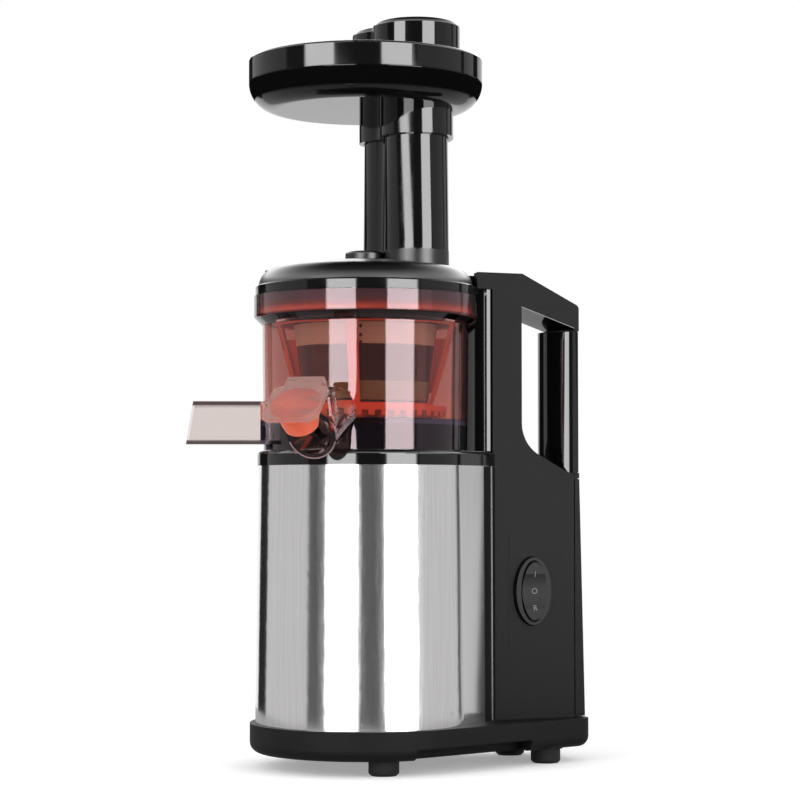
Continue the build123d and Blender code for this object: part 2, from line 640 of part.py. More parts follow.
def make_rocker():
    """The rocker: an oval key with a dished face, on two trunnions in the bezel."""
    key = on_switch(extrude(Ellipse(ROCKER_H / 2, ROCKER_W / 2), BEZEL_PROUD + ROCKER_PROUD + 8), x=-8)
    dish = Pos(SPINE_HALF + BEZEL_PROUD + ROCKER_PROUD + 45, SWITCH_Y, SWITCH_Z) * Rot(90, 0, 0)
    key -= dish * Cylinder(46, 60)
    for y in (-1, 1):
        socket = Pos(SPINE_HALF - 4, SWITCH_Y + y * ROCKER_W / 2, SWITCH_Z) * Rot(90, 0, 0)
        key -= socket * Cylinder(1.2 + RUN, 3.2)
    return key


# ================================================================ motor and gearbox
def make_motor_stator():
    stack = tube(MOTOR_R, ROTOR_R + ROTOR_GAP, MOTOR_Z, MOTOR_Z + STATOR_H)
    for a in around(4, 45):
        stack -= Rot(0, 0, a) * box(MOTOR_R - 4, MOTOR_R + 2, -9, 9, MOTOR_Z - 1, MOTOR_Z + STATOR_H + 1)
    coils = tube(MOTOR_R - 6, ROTOR_R + 3, MOTOR_Z - 7, MOTOR_Z) + tube(
        MOTOR_R - 6, ROTOR_R + 3, MOTOR_Z + STATOR_H, MOTOR_Z + STATOR_H + 7)
    return stack, coils


def make_motor_brackets():
    """Upper and lower end brackets with the shaft's bearings; the lower one stands on the base tray."""
    low = tube(MOTOR_R - 12, MOTOR_SHAFT_R + RUN, FOOT_H + 3, FOOT_H + 6)
    low += tube(9, MOTOR_SHAFT_R + RUN, FOOT_H + 3, FOOT_H + 12)
    for a in around(3, 90):
        post = at(MOTOR_R - 2.5, a)
        low += Pos(post[0], post[1], FOOT_H + 3) * Cylinder(2.5, MOTOR_Z - FOOT_H - 3,
                                                            align=(Align.CENTER, Align.CENTER, Align.MIN))
        low += Rot(0, 0, a) * box(MOTOR_R - 14, MOTOR_R - 2.5, -3, 3, FOOT_H + 3, FOOT_H + 6)
    z = MOTOR_Z + STATOR_H
    high = tube(MOTOR_R - 1, MOTOR_R - 4.5, z, BOX_Z)
    high += tube(MOTOR_R - 1, MOTOR_SHAFT_R + RUN, BOX_Z - 3, BOX_Z)
    high += tube(9, MOTOR_SHAFT_R + RUN, BOX_Z - 10, BOX_Z)
    for a in around(4, 0):
        high -= Rot(0, 0, a) * box(20, 60, -8, 8, z + 2, BOX_Z - 5)
    return low, high


def make_motor_rotor():
    z = MOTOR_Z
    core = tube(ROTOR_R, 0, z, z + STATOR_H)
    shaft = tube(MOTOR_SHAFT_R, 0, FOOT_H + 4.5, PLANET_Z)
    pinion = extruded(gear_outline(PINION_TEETH, PLANET_M), PLANET_Z, PLANET_Z + PLANET_H)
    return core + shaft + pinion


def make_cooling_fan():
    z = FOOT_H + 14
    fan = tube(FAN_HUB_R, MOTOR_SHAFT_R, z, z + FAN_H)
    fan += tube(FAN_R, FAN_HUB_R - 1, z, z + 1.2)
    root, tip = FAN_HUB_R - 1.5, FAN_R - 2
    for a in around(BLADE_COUNT):
        blade = Pos((root + tip) / 2, 0, z + FAN_H / 2) * Rot(24, 0, 0) * Box(tip - root, 0.9, FAN_H - 1.6)
        fan += Rot(0, 0, a) * blade
    return fan


def make_gearbox():
    """Housing with a fixed annulus, and its cover; the planets and their carrier run inside."""
    shell = tube(BOX_R, BOX_R - BOX_WALL, BOX_Z, BOX_Z + BOX_H)
    shell += tube(BOX_R, MOTOR_SHAFT_R + 5, BOX_Z, BOX_Z + BOX_WALL)
    cover = tube(BOX_R, DRIVE_R + RUN, BOX_Z + BOX_H, BOX_Z + BOX_H + 4)
    cover += tube(14, DRIVE_R + RUN, BOX_Z + BOX_H, BOX_Z + BOX_H + 14)
    for a in around(6, 15):
        ear = at(BOX_R - 1, a)
        cover += Pos(ear[0], ear[1], BOX_Z + BOX_H + 4) * Cylinder(3, 3, align=(Align.CENTER, Align.CENTER, Align.MIN))
    return shell, cover


def make_annulus():
    hole = Rot(0, 0, annulus_phase()) * gear_outline(ANNULUS_TEETH, PLANET_M, internal=True)
    ring = Circle(BOX_R - BOX_WALL) - hole
    return extruded(ring, PLANET_Z - 1, PLANET_Z + PLANET_H + 1)


def annulus_phase():
    """Turns the annulus so that the first planet's outward tooth finds a space of it."""
    outward = -planet_phase(0) * PLANET_TEETH / 360.0
    return -(outward - round(outward)) * 360.0 / ANNULUS_TEETH


def planet_phase(azimuth):
    """Turns a planet so that it meshes with the motor pinion, whose first tooth points along +X."""
    pinion_at = azimuth * PINION_TEETH / 360.0
    frac = pinion_at - int(pinion_at)
    # the planet faces the pinion at azimuth + 180; a pinion tooth there needs a space of the planet
    step = 360.0 / PLANET_TEETH
    facing = azimuth + 180
    offset = (0.5 + frac) * step
    return facing + offset


def planet_radius():
    return (PINION_TEETH + PLANET_TEETH) * PLANET_M / 2


def make_planet(azimuth):
    body = gear(PLANET_TEETH, PLANET_M, PLANET_Z, PLANET_H, 3.0 + RUN)
    x, y, _ = at(planet_radius(), azimuth)
    return Pos(x, y, 0) * Rot(0, 0, planet_phase(azimuth)) * body


def make_planet_carrier():
    z = PLANET_Z + PLANET_H + 0.6
    plate = tube(planet_radius() + 7, 0, z, z + 5)
    for a in around(PLANETS):
        x, y, _ = at(planet_radius(), a)
        plate += Pos(x, y, PLANET_Z - 0.6) * Cylinder(3.0, z - PLANET_Z + 1,
                                                      align=(Align.CENTER, Align.CENTER, Align.MIN))
        plate += Pos(x, y, PLANET_Z - 1.8) * Cylinder(4.4, 1.2, align=(Align.CENTER, Align.CENTER, Align.MIN))
    return plate


def make_drive_shaft():
    z = PLANET_Z + PLANET_H + 5.6
    shaft = tube(DRIVE_R, 0, z, PLATFORM_TOP + 1)
    hexagon = extruded(RegularPolygon(DRIVE_R - 0.1, 6), PLATFORM_TOP + 1, DRIVE_TOP)
    return shaft + hexagon


def make_control_board():
    y0, y1 = SPINE_FRONT + 5, SPINE_REAR_TOP - 12
    z0, z1 = TRAY_TOP + 16, TRAY_TOP + 68
    face = -CORE_HALF + 5
    board = box(face - 1.6, face, y0, y1, z0, z1)
    parts = box(face, face + 10, y0 + 4, y0 + 16, z0 + 6, z0 + 20)
    parts += box(face, face + 6, y0 + 18, y1 - 4, z0 + 24, z0 + 32)
    standoffs = [box(-CORE_HALF + 1.6, face - 1.6, y - 2, y + 2, z - 2, z + 2) for y in (y0 + 3, y1 - 3)
                 for z in (z0 + 3, z1 - 3)]
    body = board + parts
    for s in standoffs:
        body += s
    return body


def interlock_body(grow=0.0):
    y0 = TAB_REACH + 1.2
    return box(-4 - grow, 4 + grow, y0 - grow, y0 + 9 + grow, TAB_BOTTOM + 0.5 - grow, TAB_TOP - 1 + grow)


def make_interlock_switch():
    """Micro switch behind the column's pocket, pressed by the lid's tab when the lid is locked."""
    return interlock_body() + box(-1.5, 1.5, TAB_REACH + 2 * GAP, TAB_REACH + 2, TAB_BOTTOM + 3, TAB_BOTTOM + 5)


# ================================================================ bowl
def make_bowl():
    inner = BOWL_R - BOWL_WALL
    step = RING_BOTTOM
    wall = turned([
        (inner, BOWL_BOTTOM), (BOWL_R, BOWL_BOTTOM), (BOWL_R + 0.8, step - 4), (RING_R - 0.4, step),
        (RING_R, step + 1), (RING_R, RING_TOP), (RING_R - BOWL_WALL, RING_TOP), (RING_R - BOWL_WALL, STRAINER_TOP),
        (inner + 1.2, STRAINER_TOP), (inner, FLOOR_Z)])
    floor = tube(inner + 0.4, DRIVE_R + 2.2, FLOOR_Z - FLOOR_T, FLOOR_Z)
    boss = tube(DRIVE_R + 4.2, DRIVE_R + 2.2, FLOOR_Z - FLOOR_T, FLOOR_Z + 5)
    bowl = wall + floor + boss
    # juice spout, with the ears that carry the cap's hinge pin
    length = (SPOUT_END - BOWL_R + 4) / cos(radians(SPOUT_DROP))
    down = (Align.CENTER, Align.CENTER, Align.MAX)
    bowl += in_spout(Cylinder(SPOUT_R, length, align=down)) - tube(inner + 1, 0, SKIN_TOP - BEYOND / 2, RING_TOP)
    for x in (-1, 1):
        ear = box(0, 2.4, 0, HINGE_UP + BARREL_R - 0.4, -HINGE_BACK - BARREL_R, -HINGE_BACK + BARREL_R)
        bowl += in_spout(Pos(x * (BARREL_L / 2 + GAP + 1.2) - 1.2, 0, 0) * ear)
    bore_all = in_spout(Pos(0, 0, 1) * Cylinder(SPOUT_BORE, length + 12, align=down))
    bowl -= bore_all - tube(BOWL_R - 0.2, 0, SKIN_TOP - BEYOND / 2, FLOOR_Z)
    bowl -= in_spout(Pos(0, HINGE_UP, -HINGE_BACK) * Rot(0, 90, 0) * Cylinder(HINGE_PIN_R, BARREL_L + 12))
    # pulp chute: a duct under the floor that runs out to the front left
    duct = chute_box(14, CHUTE_END, CHUTE_W / 2, CHUTE_BOTTOM, FLOOR_Z - 0.1)
    duct += chute_box(BOWL_R - 1, CHUTE_END, CHUTE_W / 2, CHUTE_BOTTOM, CHUTE_TOP)
    hollow = chute_box(14 + CHUTE_WALL, CHUTE_END + 9, CHUTE_W / 2 - CHUTE_WALL, CHUTE_BOTTOM + CHUTE_WALL,
                       FLOOR_Z - FLOOR_T)
    hollow += chute_box(BOWL_R + 0.4, CHUTE_END + 9, CHUTE_W / 2 - CHUTE_WALL, CHUTE_BOTTOM + CHUTE_WALL,
                        CHUTE_TOP - CHUTE_WALL)
    drop = chute_box(14 + CHUTE_WALL, 27, 8, FLOOR_Z - FLOOR_T - 1, FLOOR_Z + 1)
    bowl = bowl + duct - hollow - drop
    mouth = Rot(0, 0, CHUTE_AZ - 90) * side_cut()
    return bowl - mouth


def side_cut():
    """Trims the chute's mouth to a slant, longest at the bottom."""
    tall = CHUTE_TOP - CHUTE_BOTTOM
    points = [(CHUTE_END, 0, CHUTE_BOTTOM - 1), (CHUTE_END + 20, 0, CHUTE_BOTTOM - 1),
              (CHUTE_END + 20, 0, CHUTE_TOP + 1), (CHUTE_END - CHUTE_RAKE * (tall + 1) / tall, 0, CHUTE_TOP + 1)]
    face = make_face(Polyline(*points, close=True))
    return extrude(face, CHUTE_W, both=True)


def make_bowl_seal():
    """Silicone lip seal in the floor's hub, round the drive shaft."""
    return turned([(DRIVE_R + 0.4, FLOOR_Z + 1), (DRIVE_R + 2.2, FLOOR_Z - 1), (DRIVE_R + 2.2, FLOOR_Z + 5),
                   (DRIVE_R + 1.4, FLOOR_Z + 5)])


def cap_open(shape):
    """Turns a shape drawn on the closed cap to the angle at which the cap rests open."""
    hinge = Pos(0, HINGE_UP, -HINGE_BACK)
    return in_spout(hinge * Rot(-CAP_REST, 0, 0) * hinge.inverse() * shape)


def make_juice_cap():
    front = GAP + 2.0
    plate = box(-CAP_W / 2, CAP_W / 2, -CAP_DROP, CAP_TOP, front, front + CAP_T)
    plate = fillet(plate.edges().filter_by(Axis.Z), 5)
    plate += box(-BARREL_L / 2, BARREL_L / 2, 0, HINGE_UP + 1.2, front, front + CAP_T)
    web = box(-BARREL_L / 2, BARREL_L / 2, HINGE_UP - 1.4, HINGE_UP + 1.2, -HINGE_BACK, front + 1)
    barrel = Pos(0, HINGE_UP, -HINGE_BACK) * Rot(0, 90, 0) * Cylinder(BARREL_R, BARREL_L)
    bore = Pos(0, HINGE_UP, -HINGE_BACK) * Rot(0, 90, 0) * Cylinder(HINGE_PIN_R + RUN, BARREL_L + 2)
    return cap_open(plate + web + barrel - bore)


def make_cap_seal():
    up = (Align.CENTER, Align.CENTER, Align.MIN)
    flange = Pos(0, 0, GAP) * Cylinder(SEAL_FLANGE_R, 2.0, align=up)
    plug = Pos(0, 0, GAP - SEAL_PLUG_L) * Cone(SEAL_TIP_R, SPOUT_BORE - SLIP, SEAL_PLUG_L, align=up)
    return cap_open(flange + plug)


def make_cap_hinge_pin():
    return in_spout(Pos(0, HINGE_UP, -HINGE_BACK) * Rot(0, 90, 0) * Cylinder(HINGE_PIN_R, BARREL_L + 2 * GAP + 5))


# ================================================================ gear train, strainer, brush, auger
def idler_radius():
    return (SUN_TEETH + IDLER_TEETH) * GEAR_M / 2


def mesh_phase(azimuth, teeth_in, teeth_out):
    """Turns an outer gear at this azimuth so that it meshes with a central gear whose tooth points along +X."""
    passed = azimuth * teeth_in / 360.0
    frac = passed - int(passed)
    return azimuth + 180 + (0.5 + frac) * 360.0 / teeth_out


def make_idler(azimuth):
    x, y, _ = at(idler_radius(), azimuth)
    body = gear(IDLER_TEETH, GEAR_M, GEAR_Z, GEAR_H, 2.5 + RUN)
    return Pos(x, y, 0) * Rot(0, 0, mesh_phase(azimuth, SUN_TEETH, IDLER_TEETH)) * body


def make_idler_pins():
    pins = []
    for a in around(IDLERS, IDLER_AZ):
        x, y, _ = at(idler_radius(), a)
        pins.append(Pos(x, y, 0) * tube(2.5, 0, FLOOR_Z, GEAR_Z + GEAR_H))
    return pins


def ring_gear_phase():
    """The first idler's outward tooth must find a space of the ring."""
    tooth = mesh_phase(IDLER_AZ, SUN_TEETH, IDLER_TEETH)
    step = 360.0 / IDLER_TEETH
    outward = (IDLER_AZ - tooth) / step
    frac = outward - round(outward)
    # the tooth nearest to the outward direction stands this many ring degrees away from it
    return IDLER_AZ - frac * 360.0 / RING_TEETH


def make_brush_holder():
    z0 = GEAR_Z - GAP
    hole = Rot(0, 0, ring_gear_phase()) * gear_outline(RING_TEETH, GEAR_M, internal=True)
    ring = extruded(Circle(BRUSH_RING_R) - hole, z0, z0 + GEAR_H + 2 * GAP)
    ring += tube(BRUSH_RING_R, STRAINER_R_BOT + GAP, z0 + GEAR_H + 2 * GAP, z0 + BRUSH_RING_H)
    for a in around(14):
        ring -= Rot(0, 0, a) * box(BRUSH_RING_R - 1.4, BRUSH_RING_R + 1, -2, 2, z0 - 1, z0 + 3.4)
    top = tube(BRUSH_R_TOP, BRUSH_R_TOP - 3.2, BRUSH_TOP - 4, BRUSH_TOP)
    holder = ring + top
    for a in around(STRUTS, STRUT_AZ):
        foot = Plane(origin=at(BRUSH_RING_R - 1.3, a, z0 + BRUSH_RING_H - 2), x_dir=at(1, a + 90))
        head = Plane(origin=at(BRUSH_R_TOP - 1.7, a, BRUSH_TOP - 2), x_dir=at(1, a + 90))
        holder += loft([foot * Rectangle(5, 2.0), head * Rectangle(6.5, 2.6)], ruled=True)
    return holder


def make_brush_wipers():
    """Silicone blades held by the brush holder's struts; their edges wipe the strainer."""
    blades = []
    z0, z1 = STRAINER_Z + 6, BRUSH_TOP - 7
    for a in around(STRUTS, STRUT_AZ):
        low_r = strainer_radius(z0) + GAP
        high_r = strainer_radius(z1) + GAP
        frame_low, frame_high = strut_inner(z0), strut_inner(z1)
        face = make_face(Polyline((low_r, 0, z0), (frame_low, 0, z0), (frame_high, 0, z1), (high_r, 0, z1),
                                  close=True))
        blades.append(Rot(0, 0, a) * extrude(face, 0.7, both=True))
    return blades


def strainer_radius(z):
    t = (z - STRAINER_Z) / (STRAINER_TOP - STRAINER_Z)
    return STRAINER_R_BOT + t * (STRAINER_R_TOP - STRAINER_R_BOT)


def strut_inner(z):
    """Inner face of the brush holder's struts at this height."""
    z0 = GEAR_Z - GAP + BRUSH_RING_H - 2
    t = (z - z0) / (BRUSH_TOP - 2 - z0)
    return (BRUSH_RING_R - 2.3) + t * (BRUSH_R_TOP - 3.0 - BRUSH_RING_R + 2.3)


def make_strainer_frame():
    """Cone with two rows of windows, a flange at the top that hangs on the bowl's step, and a bottom ring."""
    cone = turned([(STRAINER_R_BOT - STRAINER_WALL, STRAINER_Z), (STRAINER_R_BOT, STRAINER_Z),
                   (STRAINER_R_TOP, STRAINER_TOP), (STRAINER_R_TOP - STRAINER_WALL, STRAINER_TOP)])
    cone += tube(RING_R - BOWL_WALL - SLIP, STRAINER_R_TOP - STRAINER_WALL, STRAINER_TOP, STRAINER_TOP + 2.2)
    cone += tube(STRAINER_R_BOT - 1, AUGER_CORE_BOT + 1.2, STRAINER_Z - 1.6, STRAINER_Z + 0.4)
    for z0, z1 in screen_bands():
        for a in around(8):
            cone -= Rot(0, 0, a) * box(20, 60, -10.4, 10.4, z0, z1)
    return cone


def screen_bands():
    return [(STRAINER_Z + 1.4, STRAINER_Z + 11.8), (STRAINER_TOP - 17.4, STRAINER_TOP - 5.6)]


def make_strainer_screen(z0, z1):
    """Perforated steel sleeve behind a row of windows; its holes are finer than the model shows."""
    seat = STRAINER_WALL + RUN
    inset = seat + SCREEN_T
    lo, hi = z0 - 0.8, z1 + 0.8
    return turned([(strainer_radius(lo) - inset, lo), (strainer_radius(lo) - seat, lo),
                   (strainer_radius(hi) - seat, hi), (strainer_radius(hi) - inset, hi)])


def auger_section(z, turn):
    """The auger's cross-section at a height: a round core with two raised flights, turned to follow the helix."""
    t = (z - GEAR_Z) / (AUGER_TOP - GEAR_Z)
    core = AUGER_CORE_BOT + t * (AUGER_CORE_TOP - AUGER_CORE_BOT)
    tip = AUGER_R_BOT + t * (AUGER_R_TOP - AUGER_R_BOT)
    points = []
    for k in range(2):
        a = turn + 180 * k
        points += [at(core, a - 62), at(core, a - 22), at(tip, a - 9), at(tip, a + 5), at(core, a + 14),
                   at(core, a + 66)]
    return Pos(0, 0, z) * make_face(Polyline(*[(p[0], p[1]) for p in points], close=True))


def make_auger():
    z0 = GEAR_Z + GEAR_H + 0.5
    steps = 14
    sections = []
    for k in range(steps + 1):
        z = z0 + 3 + (AUGER_TOP - z0 - 3) * k / steps
        sections.append(auger_section(z, 360 * (z - z0) / (2 * AUGER_PITCH)))
    body = loft(sections, ruled=True)
    body += tube(AUGER_CORE_BOT + 0.6, 0, z0, z0 + 3.2)
    body += tube((SUN_TEETH / 2 - 1.3) * GEAR_M, 0, GEAR_Z, z0 + 1)
    body += turned([(0, AUGER_TOP - 0.2), (AUGER_CORE_TOP - 0.6, AUGER_TOP - 0.2), (SPINDLE_R, AUGER_TOP + 10),
                    (SPINDLE_R, BOSS_TOP - 6), (SPINDLE_R - 1, BOSS_TOP - 5), (0, BOSS_TOP - 5)])
    sun = extruded(gear_outline(SUN_TEETH, GEAR_M), GEAR_Z, GEAR_Z + GEAR_H)
    body += sun
    body -= tube(DRIVE_R + 4.2 + GAP, 0, GEAR_Z - 1, FLOOR_Z + 5 + GAP)
    socket = extruded(RegularPolygon(DRIVE_R + 0.0, 6), GEAR_Z - 1, DRIVE_TOP + 1)
    return body - socket


# ================================================================ lid
def make_lid():
    plug_r = RING_R - BOWL_WALL - SLIP
    in_r = LID_RIM_R - LID_WALL - 1
    foot, bend = (LID_RIM_R - 1.6, LID_RIM_TOP + 0.9), (LID_RIM_R - SHOULDER_W, LID_RIM_TOP + SHOULDER_RISE)
    bulge = (LID_RIM_R - 0.4 * SHOULDER_W, LID_RIM_TOP + 0.68 * SHOULDER_RISE)
    hub = BOSS_R + 6
    shell = turned_profile(
        [(in_r, LID_RIM_TOP - 1.6), (in_r, RING_TOP - 5), (plug_r, RING_TOP - 5), (plug_r, RING_TOP + GAP),
         (LID_RIM_R, RING_TOP + GAP), (LID_RIM_R, LID_RIM_TOP), foot],
        bulge,
        [bend, (hub, LID_CONE_TOP), (0, LID_CONE_TOP), (0, LID_CONE_TOP - LID_WALL), (hub, LID_CONE_TOP - LID_WALL),
         (bend[0] - 0.4, bend[1] - LID_WALL)],
        (bulge[0] - 0.75 * LID_WALL, bulge[1] - 0.7 * LID_WALL))
    boss = tube(BOSS_R, 0, LID_CONE_TOP - 12, BOSS_TOP)
    boss = fillet(boss.edges().filter_by_position(Axis.Z, BOSS_TOP - 0.1, BOSS_TOP + 0.1), 1.6)
    lid = shell + boss
    lid += kidney_loft(TUBE_R_BOT, LID_RIM_TOP - 3, TUBE_R_TOP, TUBE_TOP)
    bore_bot, bore_top = TUBE_R_BOT - TUBE_WALL, TUBE_R_TOP - TUBE_WALL
    lid -= kidney_loft(bore_bot, LID_RIM_TOP - 8, bore_top, TUBE_TOP + 1)
    lid -= tube(SPINDLE_R + 2.2, 0, LID_CONE_TOP - 13, BOSS_TOP - 3)
    # bayonet tab that enters the column's pocket
    tab = box(-TAB_W / 2, TAB_W / 2, LID_RIM_R - 14, TAB_REACH, TAB_BOTTOM, TAB_TOP) - tube(
        LID_RIM_R - 6, 0, TAB_BOTTOM - 1, TAB_TOP + 1)
    tab = chamfer(tab.edges().filter_by(Axis.X).filter_by_position(Axis.Z, TAB_TOP - 0.1, TAB_TOP + 0.1)
                  .sort_by(Axis.Y)[-1], 3)
    lid += tab + (box(-TAB_W / 2, TAB_W / 2, LID_RIM_R - 8, LID_RIM_R - 0.5, LID_RIM_TOP - 2, TAB_BOTTOM + 1))
    # raised mark on the shoulder
    mark = extruded(Ellipse(1.6, 2.6), LID_RIM_TOP + 2, LID_RIM_TOP + 0.9 * SHOULDER_RISE)
    lid += Rot(0, 0, LID_MARK_AZ) * Pos(LID_RIM_R - 0.62 * SHOULDER_W, 0, 0) * mark
    return lid


def make_lid_bush():
    """Bush in the lid's boss for the auger's top spindle."""
    return tube(SPINDLE_R + 2.2, SPINDLE_R + RUN, LID_CONE_TOP - 12, BOSS_TOP - 4.4)


def make_lid_gasket():
    r = RING_R - BOWL_WALL - SLIP
    return tube(r - 0.2, r - 3.4, RING_TOP - 6.6, RING_TOP - 5)


# ================================================================ hopper tray and pusher
def make_hopper_tray():
    """A round dish with a rounded edge, and the collar that seats on the feed tube."""
    floor, rim, lip = TRAY_FLOOR_Z, TRAY_RIM_Z, TRAY_WALL / 2
    flat_r, bend = TRAY_R - TRAY_ROUND, TRAY_FLOOR_Z + TRAY_ROUND
    inner_r = TRAY_R - TRAY_WALL
    outline = make_face([
        Polyline((0, 0, floor + TRAY_WALL), (0, 0, floor), (flat_r, 0, floor)),
        quarter(flat_r, bend, TRAY_ROUND, -90, 0),
        Line((TRAY_R, 0, bend), (TRAY_R, 0, rim - lip)),
        quarter(TRAY_R - lip, rim - lip, lip, 0, 180),
        Line((inner_r, 0, rim - lip), (inner_r, 0, bend)),
        quarter(flat_r, bend, TRAY_ROUND - TRAY_WALL, 0, -90),
        Line((flat_r, 0, floor + TRAY_WALL), (0, 0, floor + TRAY_WALL))])
    dish = revolve(outline, Axis.Z, 360)
    skirt_r = TUBE_R_TOP + GAP + COLLAR_WALL
    collar = extruded(kidney(skirt_r), COLLAR_Z, TRAY_FLOOR_Z + 1)
    bore = extruded(kidney(TUBE_R_TOP + GAP + 0.2), COLLAR_Z - 1, TUBE_TOP + GAP)
    throat = extruded(kidney(TUBE_R_TOP - TUBE_WALL), TUBE_TOP - 1, TRAY_FLOOR_Z + 6)
    return dish + collar - bore - throat


def quarter(x, z, r, start, end):
    """An arc about a point of the X-Z plane, from one angle to another, measured from +X."""
    middle = (start + end) / 2
    return ThreePointArc(*[(x + r * cos(radians(a)), 0, z + r * sin(radians(a))) for a in (start, middle, end)])


def make_pusher():
    """Kidney-shaped plunger, with a cap that overhangs the throat and a hollow underside."""
    fit = TUBE_R_TOP - TUBE_WALL - SLIP
    seat = TRAY_FLOOR_Z + TRAY_WALL
    stem = extruded(kidney(fit), PUSHER_BOTTOM, seat + 1)
    cap = extruded(kidney(TUBE_R_TOP + CAP_SKIRT), seat, PUSHER_TOP)
    cap = fillet(cap.edges().filter_by_position(Axis.Z, PUSHER_TOP - 0.1, PUSHER_TOP + 0.1), 2.8)
    cap = chamfer(cap.edges().filter_by_position(Axis.Z, seat - 0.1, seat + 0.1), CAP_EASE)
    ribs = extruded(kidney(fit - 2.2), PUSHER_BOTTOM - 1, PUSHER_BOTTOM + 10)
    return stem + cap - ribs


# ================================================================ write
def build():
    stator, coils = make_motor_stator()
    bracket_low, bracket_high = make_motor_brackets()
    gearbox_shell, gearbox_cover = make_gearbox()
    bands = screen_bands()
    nodes = {
        "base_tray": make_base_tray(),
        "rubber_feet": make_feet(),
        "base_screws": make_base_screws(),
        "steel_skin": make_steel_skin(),
        "body_shell": make_body_shell(),
        "top_deck": make_top_deck(),
        "shaft_bush": make_shaft_bush(),
        "shaft_seal": make_shaft_seal(),
        "spine_core": make_spine_core(),
        "side_panel_right": make_side_panel(1),
        "side_panel_left": make_side_panel(-1),
        "column_trim": make_column_trim(),
        "rear_cover": make_rear_cover(),
        "cord_gland": make_cord_gland(),
        "handle_grip": make_grip(),
        "switch_bezel": make_switch_bezel(),
        "power_rocker": make_rocker(),
        "motor_stator": stator,
        "motor_coils": coils,
        "motor_bracket_lower": bracket_low,
        "motor_bracket_upper": bracket_high,
        "motor_rotor": make_motor_rotor(),
        "cooling_fan": make_cooling_fan(),
        "gearbox_housing": gearbox_shell,
        "gearbox_cover": gearbox_cover,
        "annulus_gear": make_annulus(),
        "planet_carrier": make_planet_carrier(),
        "drive_shaft": make_drive_shaft(),
        "control_board": make_control_board(),
        "interlock_switch": make_interlock_switch(),
        "juice_bowl": make_bowl(),
        "bowl_seal": make_bowl_seal(),
        "cap_hinge_pin": make_cap_hinge_pin(),
        "juice_cap": make_juice_cap(),
        "juice_cap_seal": make_cap_seal(),
        "idler_pins": make_idler_pins(),
        "brush_holder": make_brush_holder(),
        "brush_wipers": make_brush_wipers(),
        "strainer_frame": make_strainer_frame(),
        "strainer_screen_lower": make_strainer_screen(*bands[0]),
        "strainer_screen_upper": make_strainer_screen(*bands[1]),
        "auger": make_auger(),
        "lid": make_lid(),
        "lid_bush": make_lid_bush(),
        "lid_gasket": make_lid_gasket(),
        "hopper_tray": make_hopper_tray(),
        "pusher": make_pusher(),
    }
    for k, a in enumerate(around(PLANETS), start=1):
        nodes[f"planet_gear_{k}"] = make_planet(a)
    for k, a in enumerate(around(IDLERS, IDLER_AZ), start=1):
        nodes[f"idler_gear_{k}"] = make_idler(a)
    return nodes


def main():
    os.makedirs("parts", exist_ok=True)
    for name, shape in build().items():
        if isinstance(shape, list):
            shape = Compound(children=shape)
        export_step(shape, f"parts/{name}.step")


if __name__ == "__main__":
    main()
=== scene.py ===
"""Looks for the cold press juicer: finishes for every CAD node, modelled detail, studio and camera.

Everything is in metres, in the frame of the CAD model: +Z up, the drive axis through the origin, +Y the handle.
"""

import json
import math

import bmesh
import bpy
from mathutils import Matrix, Vector


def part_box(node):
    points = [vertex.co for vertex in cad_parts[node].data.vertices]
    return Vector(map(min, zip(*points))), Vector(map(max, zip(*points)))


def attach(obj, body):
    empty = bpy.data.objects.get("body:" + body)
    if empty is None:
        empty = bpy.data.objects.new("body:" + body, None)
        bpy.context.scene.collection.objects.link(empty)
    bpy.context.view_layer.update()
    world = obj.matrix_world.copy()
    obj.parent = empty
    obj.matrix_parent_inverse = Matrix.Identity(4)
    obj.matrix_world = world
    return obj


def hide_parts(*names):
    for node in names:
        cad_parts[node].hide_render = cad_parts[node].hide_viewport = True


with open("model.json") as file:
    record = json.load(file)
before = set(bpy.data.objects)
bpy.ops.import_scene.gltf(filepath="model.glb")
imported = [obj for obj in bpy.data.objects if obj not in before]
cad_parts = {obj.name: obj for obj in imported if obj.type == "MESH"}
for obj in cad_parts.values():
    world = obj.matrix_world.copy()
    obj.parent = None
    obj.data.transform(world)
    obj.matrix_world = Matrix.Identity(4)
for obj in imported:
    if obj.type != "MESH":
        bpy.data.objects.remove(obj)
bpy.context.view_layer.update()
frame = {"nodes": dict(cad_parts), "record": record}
MM = 0.001

# ---------------------------------------------------------------- camera, from the drive axis
CAMERA_AZIMUTH = math.radians(-23.0)  # where the camera stands, from +X
CAMERA_DISTANCE = 1.350
CAMERA_HEIGHT = 0.1453
CAMERA_SIDE = 0.019  # how far the camera stands to the right of the drive axis
CAMERA_PITCH = math.radians(2.333)
CAMERA_LENS = 110.45
CAMERA_SENSOR = 36.0

# ---------------------------------------------------------------- studio, in degrees from the camera's direction
SOFTBOX_LEFT = (-39.5, -9.0)
SOFTBOX_RIGHT = (23.0, 56.0)
SIDE_CARD_LEFT = (-127.0, -62.0)
SIDE_CARD_RIGHT = (60.0, 115.5)
END_CARD_RIGHT = (120.5, 140.0)
BACKDROP_FROM = 152.0
BAND_EDGE = 0.6  # half the soft edge of a softbox or card
SOFTBOX_LIGHT = 14.0
CARD_LIGHT = 0.64
SHADE_LIGHT = 0.12  # between the softboxes and beside them
DARK_LIGHT = 0.02  # between the cards and the backdrop
BACKDROP_LIGHT = 1.0
SOFTBOX_FOOT, SOFTBOX_TOP = (-19.0, -17.0), (15.0, 19.0)  # elevations over which softboxes and cards fade
LEAN = (6.8, 9.8)  # elevations over which the softboxes' tops lean outwards
LEAN_LEFT, LEAN_RIGHT = 21.0, 7.0  # by how many degrees
CANOPY_LIGHT = 5.0  # a wide overhead sheet above the softboxes
CANOPY_FADE = (17.0, 60.0)  # elevations over which it darkens
ROOM_LIGHT = 0.72  # what a matte surface gets from all round
FLOOR_LIGHT = 0.45  # the floor in a reflection
